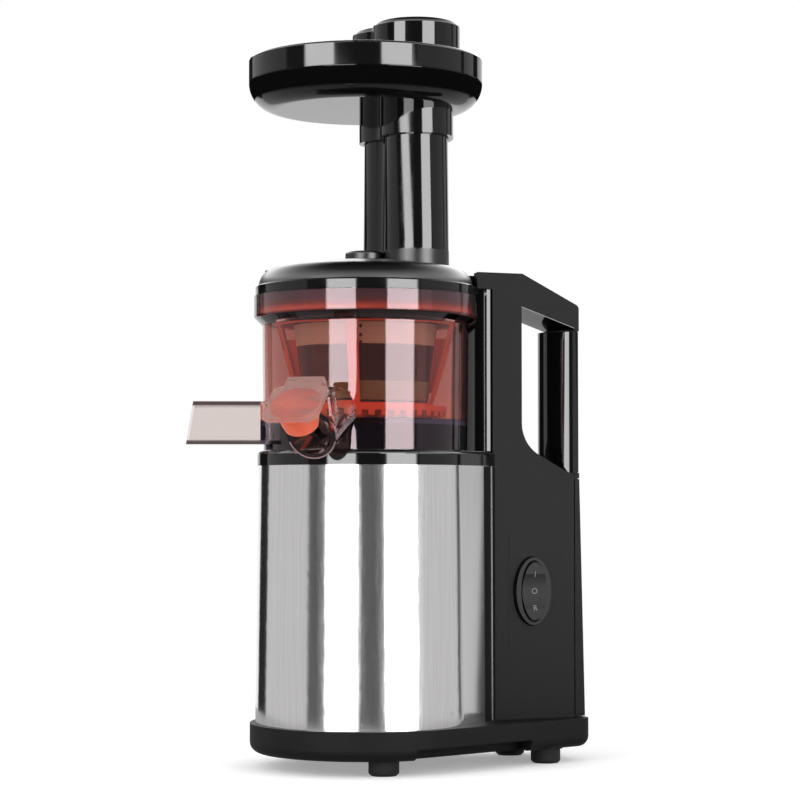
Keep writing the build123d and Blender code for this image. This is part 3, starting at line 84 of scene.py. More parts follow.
FLOOR_LIFT = 0.30  # added to the lit floor where the camera sees it, so that it reads as white
FLOOR_R = 0.42  # metres of sweep paper round the juicer; past it the backdrop starts
LAMP_DISTANCE, LAMP_HEIGHT, LAMP_AIM = 1.7, 0.9, 0.2  # metres; the lamps are aimed at the last height
LAMP_WIDE, LAMP_TALL = 0.9, 1.6

# ---------------------------------------------------------------- what the materials read, in metres
SPOUT_FROM = 0.0592  # radius past which the bowl's lower half is spout
CHUTE_AT = math.radians(-111.0)  # the way the pulp chute points
CHUTE_FROM = 0.0575  # distance that way past which the bowl is chute
CHUTE = (0.1756, 0.1990)  # its underside and its top
RING_LOW = 0.2435  # the step below the bowl's ring
TRAY_BAND = (0.3645, 0.3756)  # the rounding under the tray's rim
LID_HAZE = ((0.2618, 0.2626), (0.2825, 0.2815))  # no haze and full haze, at the dome's foot and at its top
SCREEN_TONE_LOW, SCREEN_TONE_HIGH = 0.212, 0.228  # the screens get lighter upwards between these
POLISH = 0.42  # specular level of the gloss black
# heights and tints up the bowl: the rosy smoke tint, with painted shade in the dark bands at the foot, at the
# floor's ledge and under the ring
BOWL_TINTS_AND_SHADE = [(0.165, "#4a3f52"), (0.1868, "#4a3f52"), (0.1872, "#2b2130"), (0.1886, "#2b2130"),
              (0.1892, "#d2938a"), (0.205, "#c6938b"), (0.240, "#c18e87"), (0.2435, "#5c3a38"),
              (0.2462, "#5c3a38"), (0.2466, "#c99a92"), (0.2505, "#c39a95"), (0.2525, "#b09aa0"),
              (0.257, "#a5949b"), (0.262, "#a5949b")]
# heights and tints up the ring's inner face: the bright salmon band is a painted glow of the orange gasket, mauve
# above
RING_FACE_TINTS_AND_GASKET_GLOW = [(0.2460, "#c8604f"), (0.2474, "#f2816f"), (0.2488, "#d06455"), (0.2502, "#7c4a47"),
                   (0.2525, "#664a4e"), (0.2572, "#6a5a60")]

# ---------------------------------------------------------------- places that the pieces take, in millimetres
STRAINER_Z, STRAINER_R = (197.6, 246.5), (34.2, 40.0)  # the cone's foot and head
SCREEN_WRAPS = (("screen_wrap_lower", 199.1, 209.3), ("screen_wrap_upper", 229.2, 240.8))
WRAP_IN, WRAP_OUT = 0.04, 0.2  # the wraps' faces, out from the cone
RIVET_AT = math.radians(-26.0)  # the upper screen's seam
RIVET_HEIGHTS = (238.4, 233.8, 229.9)
RIVET_FOOT, RIVET_HEAD, RIVET_RISE, RIVET_OUT = 0.95, 0.7, 0.5, 0.3  # two radii, depth, middle's way out
BRUSH_TURN = math.tau * 5 / 42  # five teeth of the holder's 42-tooth ring gear
BRUSH_RAISE = 4.2  # by how much the holder's top ring stands higher
BRUSH_RAISE_FROM, BRUSH_RAISE_OVER, BRUSH_RING_FROM = 226.0, 10.5, 44.0
FOOT_TEETH, FOOT_RADII, FOOT_HEIGHTS = 40, (42.6, 44.4), (190.6, 193.8)  # the teeth of the brush's foot
# rings by name, radii, heights, finish, body and material slot: the lip of the lid's gasket and the inner face of
# the bowl's ring, then the rim and the web of the brush's foot
BOWL_RINGS = (("lid_gasket_lip", (57.0, 58.1), (248.9, 250.4), "orange_silicone", "lid", "orange_silicone"),
              ("bowl_ring_face", (58.4, 58.7), (246.3, 256.9), "ring_face", "base", "smoke_clear_copolyester"))
FOOT_RINGS = (("brush_foot", (42.5, 44.5), (193.4, 196.2), "orange_abs", "brush", "orange_abs"),
              ("brush_foot_web", (36.2, 43.0), (195.0, 196.2), "orange_abs", "brush", "orange_abs"))
PLUG_DEEPER = 6.0
SPOUT_AZIMUTH, SPOUT_DROP = math.radians(49.0), math.radians(21.5)  # from -Y, and down
SPOUT_END, SPOUT_END_Z = 87.0, 179.0  # the mouth's middle
LIP_R, LIP_BEAD_R, LIP_BACK = 13.1, 0.34, 0.6  # the lip stands back, clear of the closed cap's plug
LIP_FROM, LIP_STEP, LIP_STEPS = 198, 4.5, 32  # degrees round the mouth
SPINE_HALF = 18.7
SKIN_REAR = 72.0  # where the steel's flat sides end
SKIN_FOOT, SKIN_HEAD, SKIN_R_FOOT, SKIN_R_HEAD = 24.0, 164.0, 60.2, 58.4  # its heights, its radii there
SKIN_SHADOW_STRIP_OUTLINE = ((17.4, -0.3), (17.4, 0.15), (16.9, 0.3), (4.9, 0.3), (4.9, -0.5))  # a dark strip of painted shade where the steel meets the panel: back, proud
SKIN_BEAD, SKIN_BEAD_R = (9.2, 0.3), 0.85  # the bright edge, back and proud, and its radius
SKIN_STRIP_CLEAR = 0.2  # above the steel's foot and below its head
HOLE_FRONT, HOLE_REAR, HOLE_TOP_FRONT, HOLE_TOP_REAR = 86.5, 119.4, 253.3, 242.2
LINER_T, LINER_CLEAR = 0.35, 0.2  # thickness, and how far it stays inside the spine's sides
GRIP_HEEL = 118.2  # the grip is matte behind this
CORE_SHARE, CORE_UP, CORE_DOWN = 0.97, 0.6, 5.0  # the grip's core: narrower, and longer at both ends
SWITCH_Y, SWITCH_Z = 92.3, 94.7
PLATE_X, PLATE_Y, PLATE_Z, PLATE_CORNER = (18.6, 18.85), (78.2, 106.2), (58.6, 128.0), 2.0
DISH_X, DISH_R = 68.3, 46.0  # the cylinder that dishes the rocker's face
ROCKER_FACE = 23.3
MARK_SIZE, MARK_DEEP, MARK_STEP = 4.6, 0.06, 9.3


# ---------------------------------------------------------------- helpers
def srgb(code):
    """An sRGB hex colour as the linear colour that a shader takes."""
    parts = [int(code[k:k + 2], 16) / 255 for k in (1, 3, 5)]
    linear = [c / 12.92 if c <= 0.04045 else ((c + 0.055) / 1.055) ** 2.4 for c in parts]
    return (*linear, 1.0)


def add(tree, kind, inputs=None, **settings):
    """Adds a node with its settings; each input is a value or the socket that feeds it."""
    made = tree.nodes.new(kind)
    for name, value in settings.items():
        setattr(made, name, value)
    for socket, value in (inputs or {}).items():
        if isinstance(value, bpy.types.NodeSocket):
            tree.links.new(value, made.inputs[socket])
        else:
            made.inputs[socket].default_value = value
    return made


def set_stops(ramp, stops):
    """Gives a colour ramp these (position, linear colour) stops."""
    elements = ramp.color_ramp.elements
    while len(elements) < len(stops):
        elements.new(0.5)
    for element, (position, colour) in zip(elements, stops):
        element.position = position
        element.color = colour


def material(name):
    """A node material with its Principled shader and its object coordinates."""
    made = bpy.data.materials.new(name)
    made.use_nodes = True
    tree = made.node_tree
    tree.nodes.clear()
    shader = add(tree, "ShaderNodeBsdfPrincipled")
    add(tree, "ShaderNodeOutputMaterial", {"Surface": shader.outputs["BSDF"]})
    place = add(tree, "ShaderNodeTexCoord").outputs["Object"]
    return made, tree, shader, place


def per_mm(size):
    """The noise scale whose features are about this many millimetres."""
    return 1.0 / (size * MM)


def grain(tree, place, size, depth, shader, squeeze=(1, 1, 1), detail=2.0):
    """Feeds a noise of this feature size to the shader's normal, as a relief of this depth in millimetres."""
    squeezed = add(tree, "ShaderNodeMapping", {"Vector": place, "Scale": squeeze})
    noise = add(tree, "ShaderNodeTexNoise", {"Vector": squeezed.outputs[0], "Scale": per_mm(size),
                                             "Detail": detail})
    bump = add(tree, "ShaderNodeBump", {"Height": noise.outputs["Fac"], "Distance": depth * MM, "Strength": 1.0})
    tree.links.new(bump.outputs[0], shader.inputs["Normal"])
    return noise


def let_lamps_through(tree, shader, tint):
    """Lets the light of the lamps and the room pass clear plastic, so that what stands behind it is lit."""
    path = add(tree, "ShaderNodeLightPath")
    passes = add(tree, "ShaderNodeMath", {0: path.outputs["Is Shadow Ray"], 1: path.outputs["Is Diffuse Ray"]},
                 operation="MAXIMUM")
    clear = add(tree, "ShaderNodeBsdfTransparent", {"Color": srgb(tint)})
    mixed = add(tree, "ShaderNodeMixShader", {0: passes.outputs[0], 1: shader.outputs["BSDF"],
                                              2: clear.outputs[0]})
    tree.links.new(mixed.outputs[0], tree.get_output_node("ALL").inputs["Surface"])


def by_height(tree, height, tints):
    """Blends tones up a piece, from (height in metres, colour) stops."""
    low, high = tints[0][0], tints[-1][0]
    level = add(tree, "ShaderNodeMapRange", {"Value": height, "From Min": low, "From Max": high})
    ramp = add(tree, "ShaderNodeValToRGB", {"Fac": level.outputs["Result"]})
    set_stops(ramp, [((z - low) / (high - low), srgb(tone)) for z, tone in tints])
    return ramp.outputs["Color"]


def off_middle(tree, height, low, high):
    """How far a height lies from the middle between two others."""
    middle = add(tree, "ShaderNodeMath", {0: height, 1: (low + high) / 2}, operation="SUBTRACT")
    return add(tree, "ShaderNodeMath", {0: middle.outputs[0]}, operation="ABSOLUTE").outputs[0]


def spread(tree, value, low, high):
    """Maps a noise value to a range."""
    return add(tree, "ShaderNodeMapRange", {"Value": value, "From Min": 0.3, "From Max": 0.7,
                                            "To Min": low, "To Max": high}).outputs["Result"]


# ---------------------------------------------------------------- materials
def polished_black(name):
    """Black ABS from a polished mould: clear reflections with a little haze from handling."""
    made, tree, shader, place = material(name)
    haze = add(tree, "ShaderNodeTexNoise", {"Vector": place, "Scale": per_mm(24), "Detail": 3.0})
    shader.inputs["Base Color"].default_value = srgb("#0c0c0d")
    shader.inputs["Specular IOR Level"].default_value = POLISH
    tree.links.new(spread(tree, haze.outputs["Fac"], 0.04, 0.09), shader.inputs["Roughness"])
    grain(tree, place, 30, 0.012, shader, detail=1.0)
    return made, tree, shader, place


def tray_abs():
    """The tray's gloss black; the rounding below its rim left the mould duller and takes hardly any shine."""
    made, tree, shader, place = polished_black("tray_gloss_black_abs")
    height = add(tree, "ShaderNodeSeparateXYZ", {0: place}).outputs["Z"]
    half, fade = (TRAY_BAND[1] - TRAY_BAND[0]) / 2, 0.0012
    shine = add(tree, "ShaderNodeMapRange", {"Value": off_middle(tree, height, *TRAY_BAND),
                                             "From Min": half - fade, "From Max": half,
                                             "To Min": 0.0, "To Max": POLISH})
    tree.links.new(shine.outputs["Result"], shader.inputs["Specular IOR Level"])
    return made


def lid_abs():
    """The lid's gloss black: a polished rim, and a dome whose finer mould texture hazes the light from above."""
    made, tree, shader, place = polished_black("lid_gloss_black_abs")
    height = add(tree, "ShaderNodeSeparateXYZ", {0: place}).outputs["Z"]
    above, below = (add(tree, "ShaderNodeMapRange", {"Value": height, "From Min": none, "From Max": full})
                    for none, full in LID_HAZE)
    dome = add(tree, "ShaderNodeMath", {0: above.outputs["Result"], 1: below.outputs["Result"]},
               operation="MULTIPLY")
    polish = shader.inputs["Roughness"].links[0].from_socket
    hazed = add(tree, "ShaderNodeMath", {0: dome.outputs[0], 1: 0.24, 2: polish}, operation="MULTIPLY_ADD")
    tree.links.new(hazed.outputs[0], shader.inputs["Roughness"])
    return made


def satin_abs():
    """Black ABS from a vapour-blasted mould, as on the rocker: dark with one broad soft shine."""
    made, tree, shader, place = material("satin_black_abs")
    shader.inputs["Base Color"].default_value = srgb("#0f0f10")
    shader.inputs["Specular IOR Level"].default_value = 0.10
    cloud = grain(tree, place, 0.5, 0.01, shader)
    tree.links.new(spread(tree, cloud.outputs["Fac"], 0.36, 0.44), shader.inputs["Roughness"])
    return made


def polished_edge():
    """Black ABS burnished by handling: a bright line of light runs along it."""
    made, tree, shader, place = material("burnished_black_abs")
    shader.inputs["Base Color"].default_value = srgb("#1c1c1d")
    cloud = grain(tree, place, 4, 0.01, shader)
    tree.links.new(spread(tree, cloud.outputs["Fac"], 0.20, 0.28), shader.inputs["Roughness"])
    return made


def printed_grey():
    """Pad-printed light grey ink on the rocker's marks, slightly uneven."""
    made, tree, shader, place = material("pad_printed_grey_ink")
    cloud = add(tree, "ShaderNodeTexNoise", {"Vector": place, "Scale": per_mm(1.0), "Detail": 2.0})
    tone = add(tree, "ShaderNodeMix", {"Factor": cloud.outputs["Fac"], 6: srgb("#7c7c7c"), 7: srgb("#949494")},
               data_type="RGBA")
    tree.links.new(tone.outputs[2], shader.inputs["Base Color"])
    shader.inputs["Roughness"].default_value = 0.6
    shader.inputs["Specular IOR Level"].default_value = 0.2
    return made


def matte_abs():
    """Black ABS from a spark-eroded mould: an even fine texture that scatters the light."""
    made, tree, shader, place = material("textured_black_abs")
    cloud = add(tree, "ShaderNodeTexNoise", {"Vector": place, "Scale": per_mm(40), "Detail": 2.0})
    tone = add(tree, "ShaderNodeMix", {"Factor": cloud.outputs["Fac"], 6: srgb("#111112"), 7: srgb("#161617")},
               data_type="RGBA")
    tree.links.new(tone.outputs[2], shader.inputs["Base Color"])
    shader.inputs["Roughness"].default_value = 0.58
    shader.inputs["Specular IOR Level"].default_value = 0.10
    grain(tree, place, 0.7, 0.035, shader, detail=3.0)
    return made


def brushed_stainless():
    """Stainless sheet brushed up and down: fine upright lines that soften each reflection sideways."""
    made, tree, shader, place = material("brushed_stainless_steel")
    lines = grain(tree, place, 0.8, 0.0002, shader, squeeze=(1.0, 1.0, 0.002), detail=3.0)
    worn = add(tree, "ShaderNodeMix", {"Factor": spread(tree, lines.outputs["Fac"], 0.0, 1.0), 6: srgb("#dfdddf"),
                                       7: srgb("#e9e7e8")}, data_type="RGBA")
    tree.links.new(worn.outputs[2], shader.inputs["Base Color"])
    shader.inputs["Metallic"].default_value = 1.0
    tree.links.new(spread(tree, lines.outputs["Fac"], 0.09, 0.112), shader.inputs["Roughness"])
    shader.inputs["Anisotropic"].default_value = 0.5
    along = add(tree, "ShaderNodeTangent", direction_type="RADIAL", axis="Z")
    tree.links.new(along.outputs[0], shader.inputs["Tangent"])
    return made


def spout_share(tree, place, height):
    """1 on the juice spout, 0 on the bowl."""
    flat = add(tree, "ShaderNodeVectorMath", {0: place, 1: (1, 1, 0)}, operation="MULTIPLY")
    reach = add(tree, "ShaderNodeVectorMath", {0: flat.outputs[0]}, operation="LENGTH").outputs["Value"]
    beyond = add(tree, "ShaderNodeMath", {0: reach, 1: SPOUT_FROM}, operation="GREATER_THAN")
    below = add(tree, "ShaderNodeMath", {0: height, 1: RING_LOW}, operation="LESS_THAN")
    return add(tree, "ShaderNodeMath", {0: beyond.outputs[0], 1: below.outputs[0]},
               operation="MULTIPLY").outputs[0]


def chute_share(tree, place):
    """1 on the pulp chute, 0 on the bowl."""
    along = add(tree, "ShaderNodeVectorMath", {0: place, 1: (math.cos(CHUTE_AT), math.sin(CHUTE_AT), 0)},
                operation="DOT_PRODUCT").outputs["Value"]
    return add(tree, "ShaderNodeMath", {0: along, 1: CHUTE_FROM}, operation="GREATER_THAN").outputs[0]


def smoke_copolyester():
    """Smoke-tinted clear copolyester, polished: the thicker the moulding, the deeper its rosy smoke tint; the dark
    bands at the foot, at the floor's ledge and under the ring are painted shade.
    """
    made, tree, shader, place = material("smoke_clear_copolyester")
    height = add(tree, "ShaderNodeSeparateXYZ", {0: place}).outputs["Z"]
    with_spout = add(tree, "ShaderNodeMix", {"Factor": spout_share(tree, place, height),
                                             6: by_height(tree, height, BOWL_TINTS_AND_SHADE), 7: srgb("#d8beb8")},
                     data_type="RGBA").outputs[2]
    # the chute is thin and pale, and its top and bottom walls are seen edge-on, so darker
    wall, fade = 0.0026, 0.0008
    inside = (CHUTE[1] - CHUTE[0]) / 2 - wall
    edge = add(tree, "ShaderNodeMapRange", {"Value": off_middle(tree, height, *CHUTE),
                                            "From Min": inside, "From Max": inside + fade})
    chute = add(tree, "ShaderNodeMix", {"Factor": edge.outputs["Result"], 6: srgb("#ece5e3"), 7: srgb("#584a47")},
                data_type="RGBA").outputs[2]
    tint = add(tree, "ShaderNodeMix", {"Factor": chute_share(tree, place), 6: with_spout, 7: chute},
               data_type="RGBA")
    tree.links.new(tint.outputs[2], shader.inputs["Base Color"])
    shader.inputs["Roughness"].default_value = 0.0
    shader.inputs["IOR"].default_value = 1.5
    shader.inputs["Specular Tint"].default_value = srgb("#ffe9ee")
    shader.inputs["Transmission Weight"].default_value = 1.0
    grain(tree, place, 36, 0.01, shader, detail=0.0)
    let_lamps_through(tree, shader, "#f4e9e6")
    return made


def cap_copolyester():
    """The spout cap's thin clear plate: a pale rosy smoke."""
    made, tree, shader, place = material("pale_smoke_copolyester")
    shader.inputs["Base Color"].default_value = srgb("#dcb8b2")
    shader.inputs["Roughness"].default_value = 0.08
    shader.inputs["IOR"].default_value = 1.45
    shader.inputs["Transmission Weight"].default_value = 0.72
    grain(tree, place, 30, 0.01, shader, detail=0.0)
    let_lamps_through(tree, shader, "#f4ebe9")
    return made


def lip_highlight_paint():
    """The rounded lip of the spout's mouth, in an opaque pale tone: a painted highlight for the line of light that
    clear plastic gathers there.
    """
    made, tree, shader, place = material("lip_painted_highlight")
    cloud = grain(tree, place, 3, 0.01, shader)
    shader.inputs["Base Color"].default_value = srgb("#b3a3ac")
    tree.links.new(spread(tree, cloud.outputs["Fac"], 0.22, 0.32), shader.inputs["Roughness"])
    return made


def orange_silicone():
    """Orange silicone rubber: satin, with light scattered just under the surface."""
    made, tree, shader, place = material("orange_silicone_rubber")
    shader.inputs["Base Color"].default_value = srgb("#f2653f")
    shader.inputs["Roughness"].default_value = 0.42
    shader.inputs["Subsurface Weight"].default_value = 0.12
    shader.inputs["Subsurface Radius"].default_value = (0.004, 0.0015, 0.0008)
    grain(tree, place, 0.8, 0.015, shader)
    return made


def orange_abs():
    """Orange ABS, moulded with a polish: saturated, with soft reflections."""
    made, tree, shader, place = material("orange_abs")
    shader.inputs["Base Color"].default_value = srgb("#ff7346")
    shader.inputs["Roughness"].default_value = 0.28
    grain(tree, place, 12, 0.02, shader)
    return made


def black_rubber():
    """Moulded black rubber: dull, dusty grey-black."""
    made, tree, shader, place = material("moulded_black_rubber")
    dust = grain(tree, place, 0.5, 0.03, shader)
    shader.inputs["Base Color"].default_value = srgb("#252526")
    shader.inputs["Specular IOR Level"].default_value = 0.14
    tree.links.new(spread(tree, dust.outputs["Fac"], 0.62, 0.78), shader.inputs["Roughness"])
    return made


def etched_screen():
    """Etched stainless sheet: rows of fine holes, drawn at 1.7 mm because the real 0.4 mm wouldn't show."""
    made, tree, shader, place = material("etched_stainless_screen")
    pitch, holes_round = 1.7, 140.0
    split = add(tree, "ShaderNodeSeparateXYZ", {0: place})
    turn = add(tree, "ShaderNodeMath", {0: split.outputs["Y"], 1: split.outputs["X"]}, operation="ARCTAN2")
    rows = add(tree, "ShaderNodeMath", {0: split.outputs["Z"], 1: math.tau / (pitch * MM)}, operation="MULTIPLY")
    columns = add(tree, "ShaderNodeMath", {0: turn.outputs[0], 1: holes_round}, operation="MULTIPLY")
    waves = [add(tree, "ShaderNodeMath", {0: value.outputs[0]}, operation="SINE").outputs[0]
             for value in (rows, columns)]
    both = add(tree, "ShaderNodeMath", {0: waves[0], 1: waves[1]}, operation="MULTIPLY")
    # 1 on the sheet, 0 in a hole
    sheet = add(tree, "ShaderNodeMapRange", {"Value": both.outputs[0], "From Min": 0.35, "From Max": 0.6,
                                             "To Min": 1.0, "To Max": 0.0}).outputs["Result"]
    holed = add(tree, "ShaderNodeMix", {"Factor": sheet, 6: srgb("#8d8e7e"), 7: srgb("#f4ffe4")}, data_type="RGBA")
    # darker towards the bottom of the screens
    rise_share = add(tree, "ShaderNodeMapRange", {"Value": split.outputs["Z"], "From Min": SCREEN_TONE_LOW,
                                           "From Max": SCREEN_TONE_HIGH})
    height_tone = add(tree, "ShaderNodeMix", {"Factor": rise_share.outputs["Result"], 6: srgb("#a3a48a"), 7: srgb("#ffffff")},
              data_type="RGBA")
    tone = add(tree, "ShaderNodeMix", {"Factor": 1.0, 6: holed.outputs[2], 7: height_tone.outputs[2]}, data_type="RGBA",
               blend_type="MULTIPLY")
    tree.links.new(tone.outputs[2], shader.inputs["Base Color"])
    shader.inputs["Metallic"].default_value = 0.35
    shader.inputs["Roughness"].default_value = 0.42
    bump = add(tree, "ShaderNodeBump", {"Height": sheet, "Distance": 0.1 * MM})
    tree.links.new(bump.outputs[0], shader.inputs["Normal"])
    return made


def ring_face():
    """The ring's inner face, seen through its thick wall: rosy below with a painted glow of the orange gasket,
    dull mauve above.
    """
    made, tree, shader, place = material("frosted_copolyester_face")
    height = add(tree, "ShaderNodeSeparateXYZ", {0: place}).outputs["Z"]
    cloud = add(tree, "ShaderNodeTexNoise", {"Vector": place, "Scale": per_mm(18), "Detail": 2.0})
    tone = add(tree, "ShaderNodeMix", {"Factor": spread(tree, cloud.outputs["Fac"], 0.0, 0.35),
                                       6: by_height(tree, height, RING_FACE_TINTS_AND_GASKET_GLOW), 7: srgb("#8a4f4c")},
               data_type="RGBA")
    tree.links.new(tone.outputs[2], shader.inputs["Base Color"])
    shader.inputs["Roughness"].default_value = 0.5
    shader.inputs["Specular IOR Level"].default_value = 0.2
    return made


def smoke_pei():
    """Glass-clear PEI in dark smoke: near black in the mass, amber-brown where it is thin."""
    made, tree, shader, place = material("dark_smoke_pei")
    shader.inputs["Base Color"].default_value = srgb("#150f12")
    shader.inputs["Roughness"].default_value = 0.16
    grain(tree, place, 20, 0.015, shader)
    return made


def dark_pei():
    """Dark grey PEI with glass fibre: satin, with a faint flow mottle."""
    made, tree, shader, place = material("dark_grey_pei")
    mottle = grain(tree, place, 1.2, 0.02, shader)
    shader.inputs["Base Color"].default_value = srgb("#2b272a")
    tree.links.new(spread(tree, mottle.outputs["Fac"], 0.30, 0.42), shader.inputs["Roughness"])
    return made


def machined_steel():
    """Turned steel with bright zinc: concentric tool lines and a cold grey shine."""
    made, tree, shader, place = material("turned_zinc_plated_steel")
    lines = grain(tree, place, 0.4, 0.004, shader, squeeze=(0.05, 0.05, 1.0))
    shader.inputs["Base Color"].default_value = srgb("#b9bcc0")
    shader.inputs["Metallic"].default_value = 1.0
    tree.links.new(spread(tree, lines.outputs["Fac"], 0.26, 0.40), shader.inputs["Roughness"])
    return made


def plain_finish(name, tone, roughness, metallic=0.0, size=1.0, depth=0.02):
    """A cast, sintered, wound or moulded surface out of sight: its own tone, gloss and grain."""
    made, tree, shader, place = material(name)
    shader.inputs["Base Color"].default_value = srgb(tone)
    shader.inputs["Metallic"].default_value = metallic
    cloud = grain(tree, place, size, depth, shader)
    rough = spread(tree, cloud.outputs["Fac"], roughness - 0.06, roughness + 0.06)
    tree.links.new(rough, shader.inputs["Roughness"])
    return made


finishes = {
    "black_gloss_abs": polished_black("gloss_black_abs")[0],
    "satin_abs": satin_abs(),
    "tray_abs": tray_abs(),
    "lid_abs": lid_abs(),
    "printed_grey": printed_grey(),
    "polished_edge": polished_edge(),
    "cap_smoke": cap_copolyester(),
    # the spout's lip, a pale painted highlight
    "lip": lip_highlight_paint(),
    "ring_face": ring_face(),
    "black_matte_abs": matte_abs(),
    "brushed_stainless": brushed_stainless(),
    "smoke_clear_copolyester": smoke_copolyester(),
    "orange_silicone": orange_silicone(),
    "orange_abs": orange_abs(),
    "black_rubber": black_rubber(),
    "perforated_stainless": etched_screen(),
    "smoke_grey_pei": smoke_pei(),
    "dark_grey_pei": dark_pei(),
    "zinc_steel": machined_steel(),
    "sintered_bronze": plain_finish("sintered_bronze", "#a5804f", 0.45, 1.0, 0.5),
    "lamination_steel": plain_finish("blued_lamination_steel", "#55575b", 0.5, 1.0, 0.5),
    "copper_winding": plain_finish("lacquered_copper_wire", "#a85f33", 0.35, 1.0, 0.6, 0.06),
    "die_cast": plain_finish("die_cast_aluminium", "#a7a8aa", 0.5, 1.0, 0.9, 0.04),
    "natural_nylon": plain_finish("natural_nylon", "#d9d5c5", 0.45),
    "circuit_board": plain_finish("green_solder_mask", "#1f5a34", 0.4),
}

# nodes that look other than the rest of their material slot
OWN_FINISHES = {"power_rocker": "satin_abs", "switch_bezel": "satin_abs", "lid": "lid_abs",
                "hopper_tray": "tray_abs", "juice_cap": "cap_smoke"}


def dress_nodes():
    """Gives each CAD node the finish of its material slot, or its own."""
    slots = {part["node"]: part["material_slot"] for part in frame["record"]["subparts"]}
    for name, node in frame["nodes"].items():
        node.data.materials.clear()
        node.data.materials.append(finishes[OWN_FINISHES.get(name, slots[name])])


# ---------------------------------------------------------------- mesh helpers
def piece_from(name, mesh, finish, body):
    """Links a mesh as a piece with its finish, on its body."""
    made = bpy.data.objects.new(name, mesh)
    bpy.context.scene.collection.objects.link(made)
    mesh.materials.clear()
    mesh.materials.append(finish)
    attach(made, body)
    return made


def mesh_of(name, made):
    """The bmesh as a mesh with its faces outwards."""
    bmesh.ops.recalc_face_normals(made, faces=made.faces)
    mesh = bpy.data.meshes.new(name)
    made.to_mesh(mesh)
    made.free()
    return mesh


def soften(mesh, degrees):
    """Shades a mesh smooth, apart from edges sharper than this."""
    mesh.shade_smooth()
    mesh.set_sharp_from_angle(angle=math.radians(degrees))


def revolved(name, profile):
    """A closed ring mesh: the profile's (radius, height) points, in millimetres, turned about Z."""
    made = bmesh.new()
    steps, loops = 192, []
    for k in range(steps):
        angle = math.tau * k / steps
        loops.append([made.verts.new((r * MM * math.cos(angle), r * MM * math.sin(angle), z * MM))
                      for r, z in profile])
    count = len(profile)
    for k in range(steps):
        here, there = loops[k], loops[(k + 1) % steps]
        for i in range(count):
            made.faces.new((here[i], there[i], there[(i + 1) % count], here[(i + 1) % count]))
    mesh = mesh_of(name, made)
    soften(mesh, 35)
    return mesh


def prism(name, near, far):
    """A closed mesh between two outlines with as many points each, in millimetres."""
    made = bmesh.new()
    ends = [[made.verts.new((x * MM, y * MM, z * MM)) for x, y, z in outline] for outline in (near, far)]
    made.faces.new(ends[0])
    made.faces.new(ends[1])
    count = len(near)
    for k in range(count):
        n = (k + 1) % count
        made.faces.new((ends[0][k], ends[0][n], ends[1][n], ends[1][k]))
    return mesh_of(name, made)


def merged_copy(node):
    """The CAD node's mesh with its loose triangles joined."""
    made = bmesh.new()
    made.from_mesh(frame["nodes"][node].data)
    bmesh.ops.remove_doubles(made, verts=made.verts, dist=1e-6)
    mesh = bpy.data.meshes.new(node + "_joined")
    made.to_mesh(mesh)
    made.free()
    return mesh


def evaluated_mesh(holder):
    """The plain mesh that a curve, a text or a modifier makes; its object goes."""
    bpy.context.scene.collection.objects.link(holder)
    bpy.context.view_layer.update()
    mesh = bpy.data.meshes.new_from_object(holder.evaluated_get(bpy.context.evaluated_depsgraph_get()))
    holder.modifiers.clear()
    mesh.name = holder.name
    bpy.data.objects.remove(holder)
    return mesh


def bead(name, path, radius, finish, body):
    """A thin round bead along a path of points, in millimetres."""
    curve = bpy.data.curves.new(name, "CURVE")
    curve.dimensions = "3D"
    line = curve.splines.new("POLY")
    line.points.add(len(path) - 1)
    for point, (x, y, z) in zip(line.points, path):
        point.co = (x * MM, y * MM, z * MM, 1)
    curve.bevel_depth = radius * MM
    curve.bevel_resolution = 3
    curve.use_fill_caps = True
    mesh = evaluated_mesh(bpy.data.objects.new(name, curve))
    mesh.shade_smooth()
    return piece_from(name, mesh, finish, body)


# ---------------------------------------------------------------- bowl, strainer and brush
def strainer_radius(z):
    """The strainer cone's outer radius at a height, both in millimetres."""
    share = (z - STRAINER_Z[0]) / (STRAINER_Z[1] - STRAINER_Z[0])
    return STRAINER_R[0] + share * (STRAINER_R[1] - STRAINER_R[0])


def build_screen_wraps():
    """The screens' outer wraps, which run on over the ribs between the windows."""
    for name, low, high in SCREEN_WRAPS:
        profile = [(strainer_radius(z) + out, z)
                   for z, out in ((low, WRAP_IN), (high, WRAP_IN), (high, WRAP_OUT), (low, WRAP_OUT))]
        piece_from(name, revolved(name, profile), finishes["perforated_stainless"], "base")


def build_screen_rivets():
    """Three dark rivets down the upper screen's seam."""
    made = bmesh.new()
    out = Matrix.Rotation(RIVET_AT, 4, "Z") @ Matrix.Rotation(math.pi / 2, 4, "Y")
    for z in RIVET_HEIGHTS:
        reach = strainer_radius(z) + RIVET_OUT
        middle = Vector((reach * math.cos(RIVET_AT), reach * math.sin(RIVET_AT), z)) * MM
        bmesh.ops.create_cone(made, cap_ends=True, segments=16, radius1=RIVET_FOOT * MM, radius2=RIVET_HEAD * MM,
                              depth=RIVET_RISE * MM, matrix=Matrix.Translation(middle) @ out)
    piece_from("screen_rivets", mesh_of("screen_rivets", made), finishes["smoke_grey_pei"], "base")


def build_brush():
    """Brush holder and wipers, turned on by five teeth of the ring gear; the holder's top ring stands higher."""
    for node, slot in (("brush_holder", "orange_abs"), ("brush_wipers", "orange_silicone")):
        mesh = merged_copy(node)
        if node == "brush_holder":
            for vertex in mesh.vertices:
                share = min(max((vertex.co.z / MM - BRUSH_RAISE_FROM) / BRUSH_RAISE_OVER, 0.0), 1.0)
                if math.hypot(vertex.co.x, vertex.co.y) > BRUSH_RING_FROM * MM:
                    vertex.co.z += BRUSH_RAISE * MM * share
        mesh.transform(Matrix.Rotation(-BRUSH_TURN, 4, "Z"))
        soften(mesh, 30)
        made = piece_from(node + "_turned", mesh, finishes[slot], "brush")
        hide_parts(node)


def build_rings(rings):
    """The plain rings of a table, each with a square section."""
    for name, (inner, outer), (low, high), finish, body, slot in rings:
        profile = [(inner, low), (outer, low), (outer, high), (inner, high)]
        piece_from(name, revolved(name, profile), finishes[finish], body)


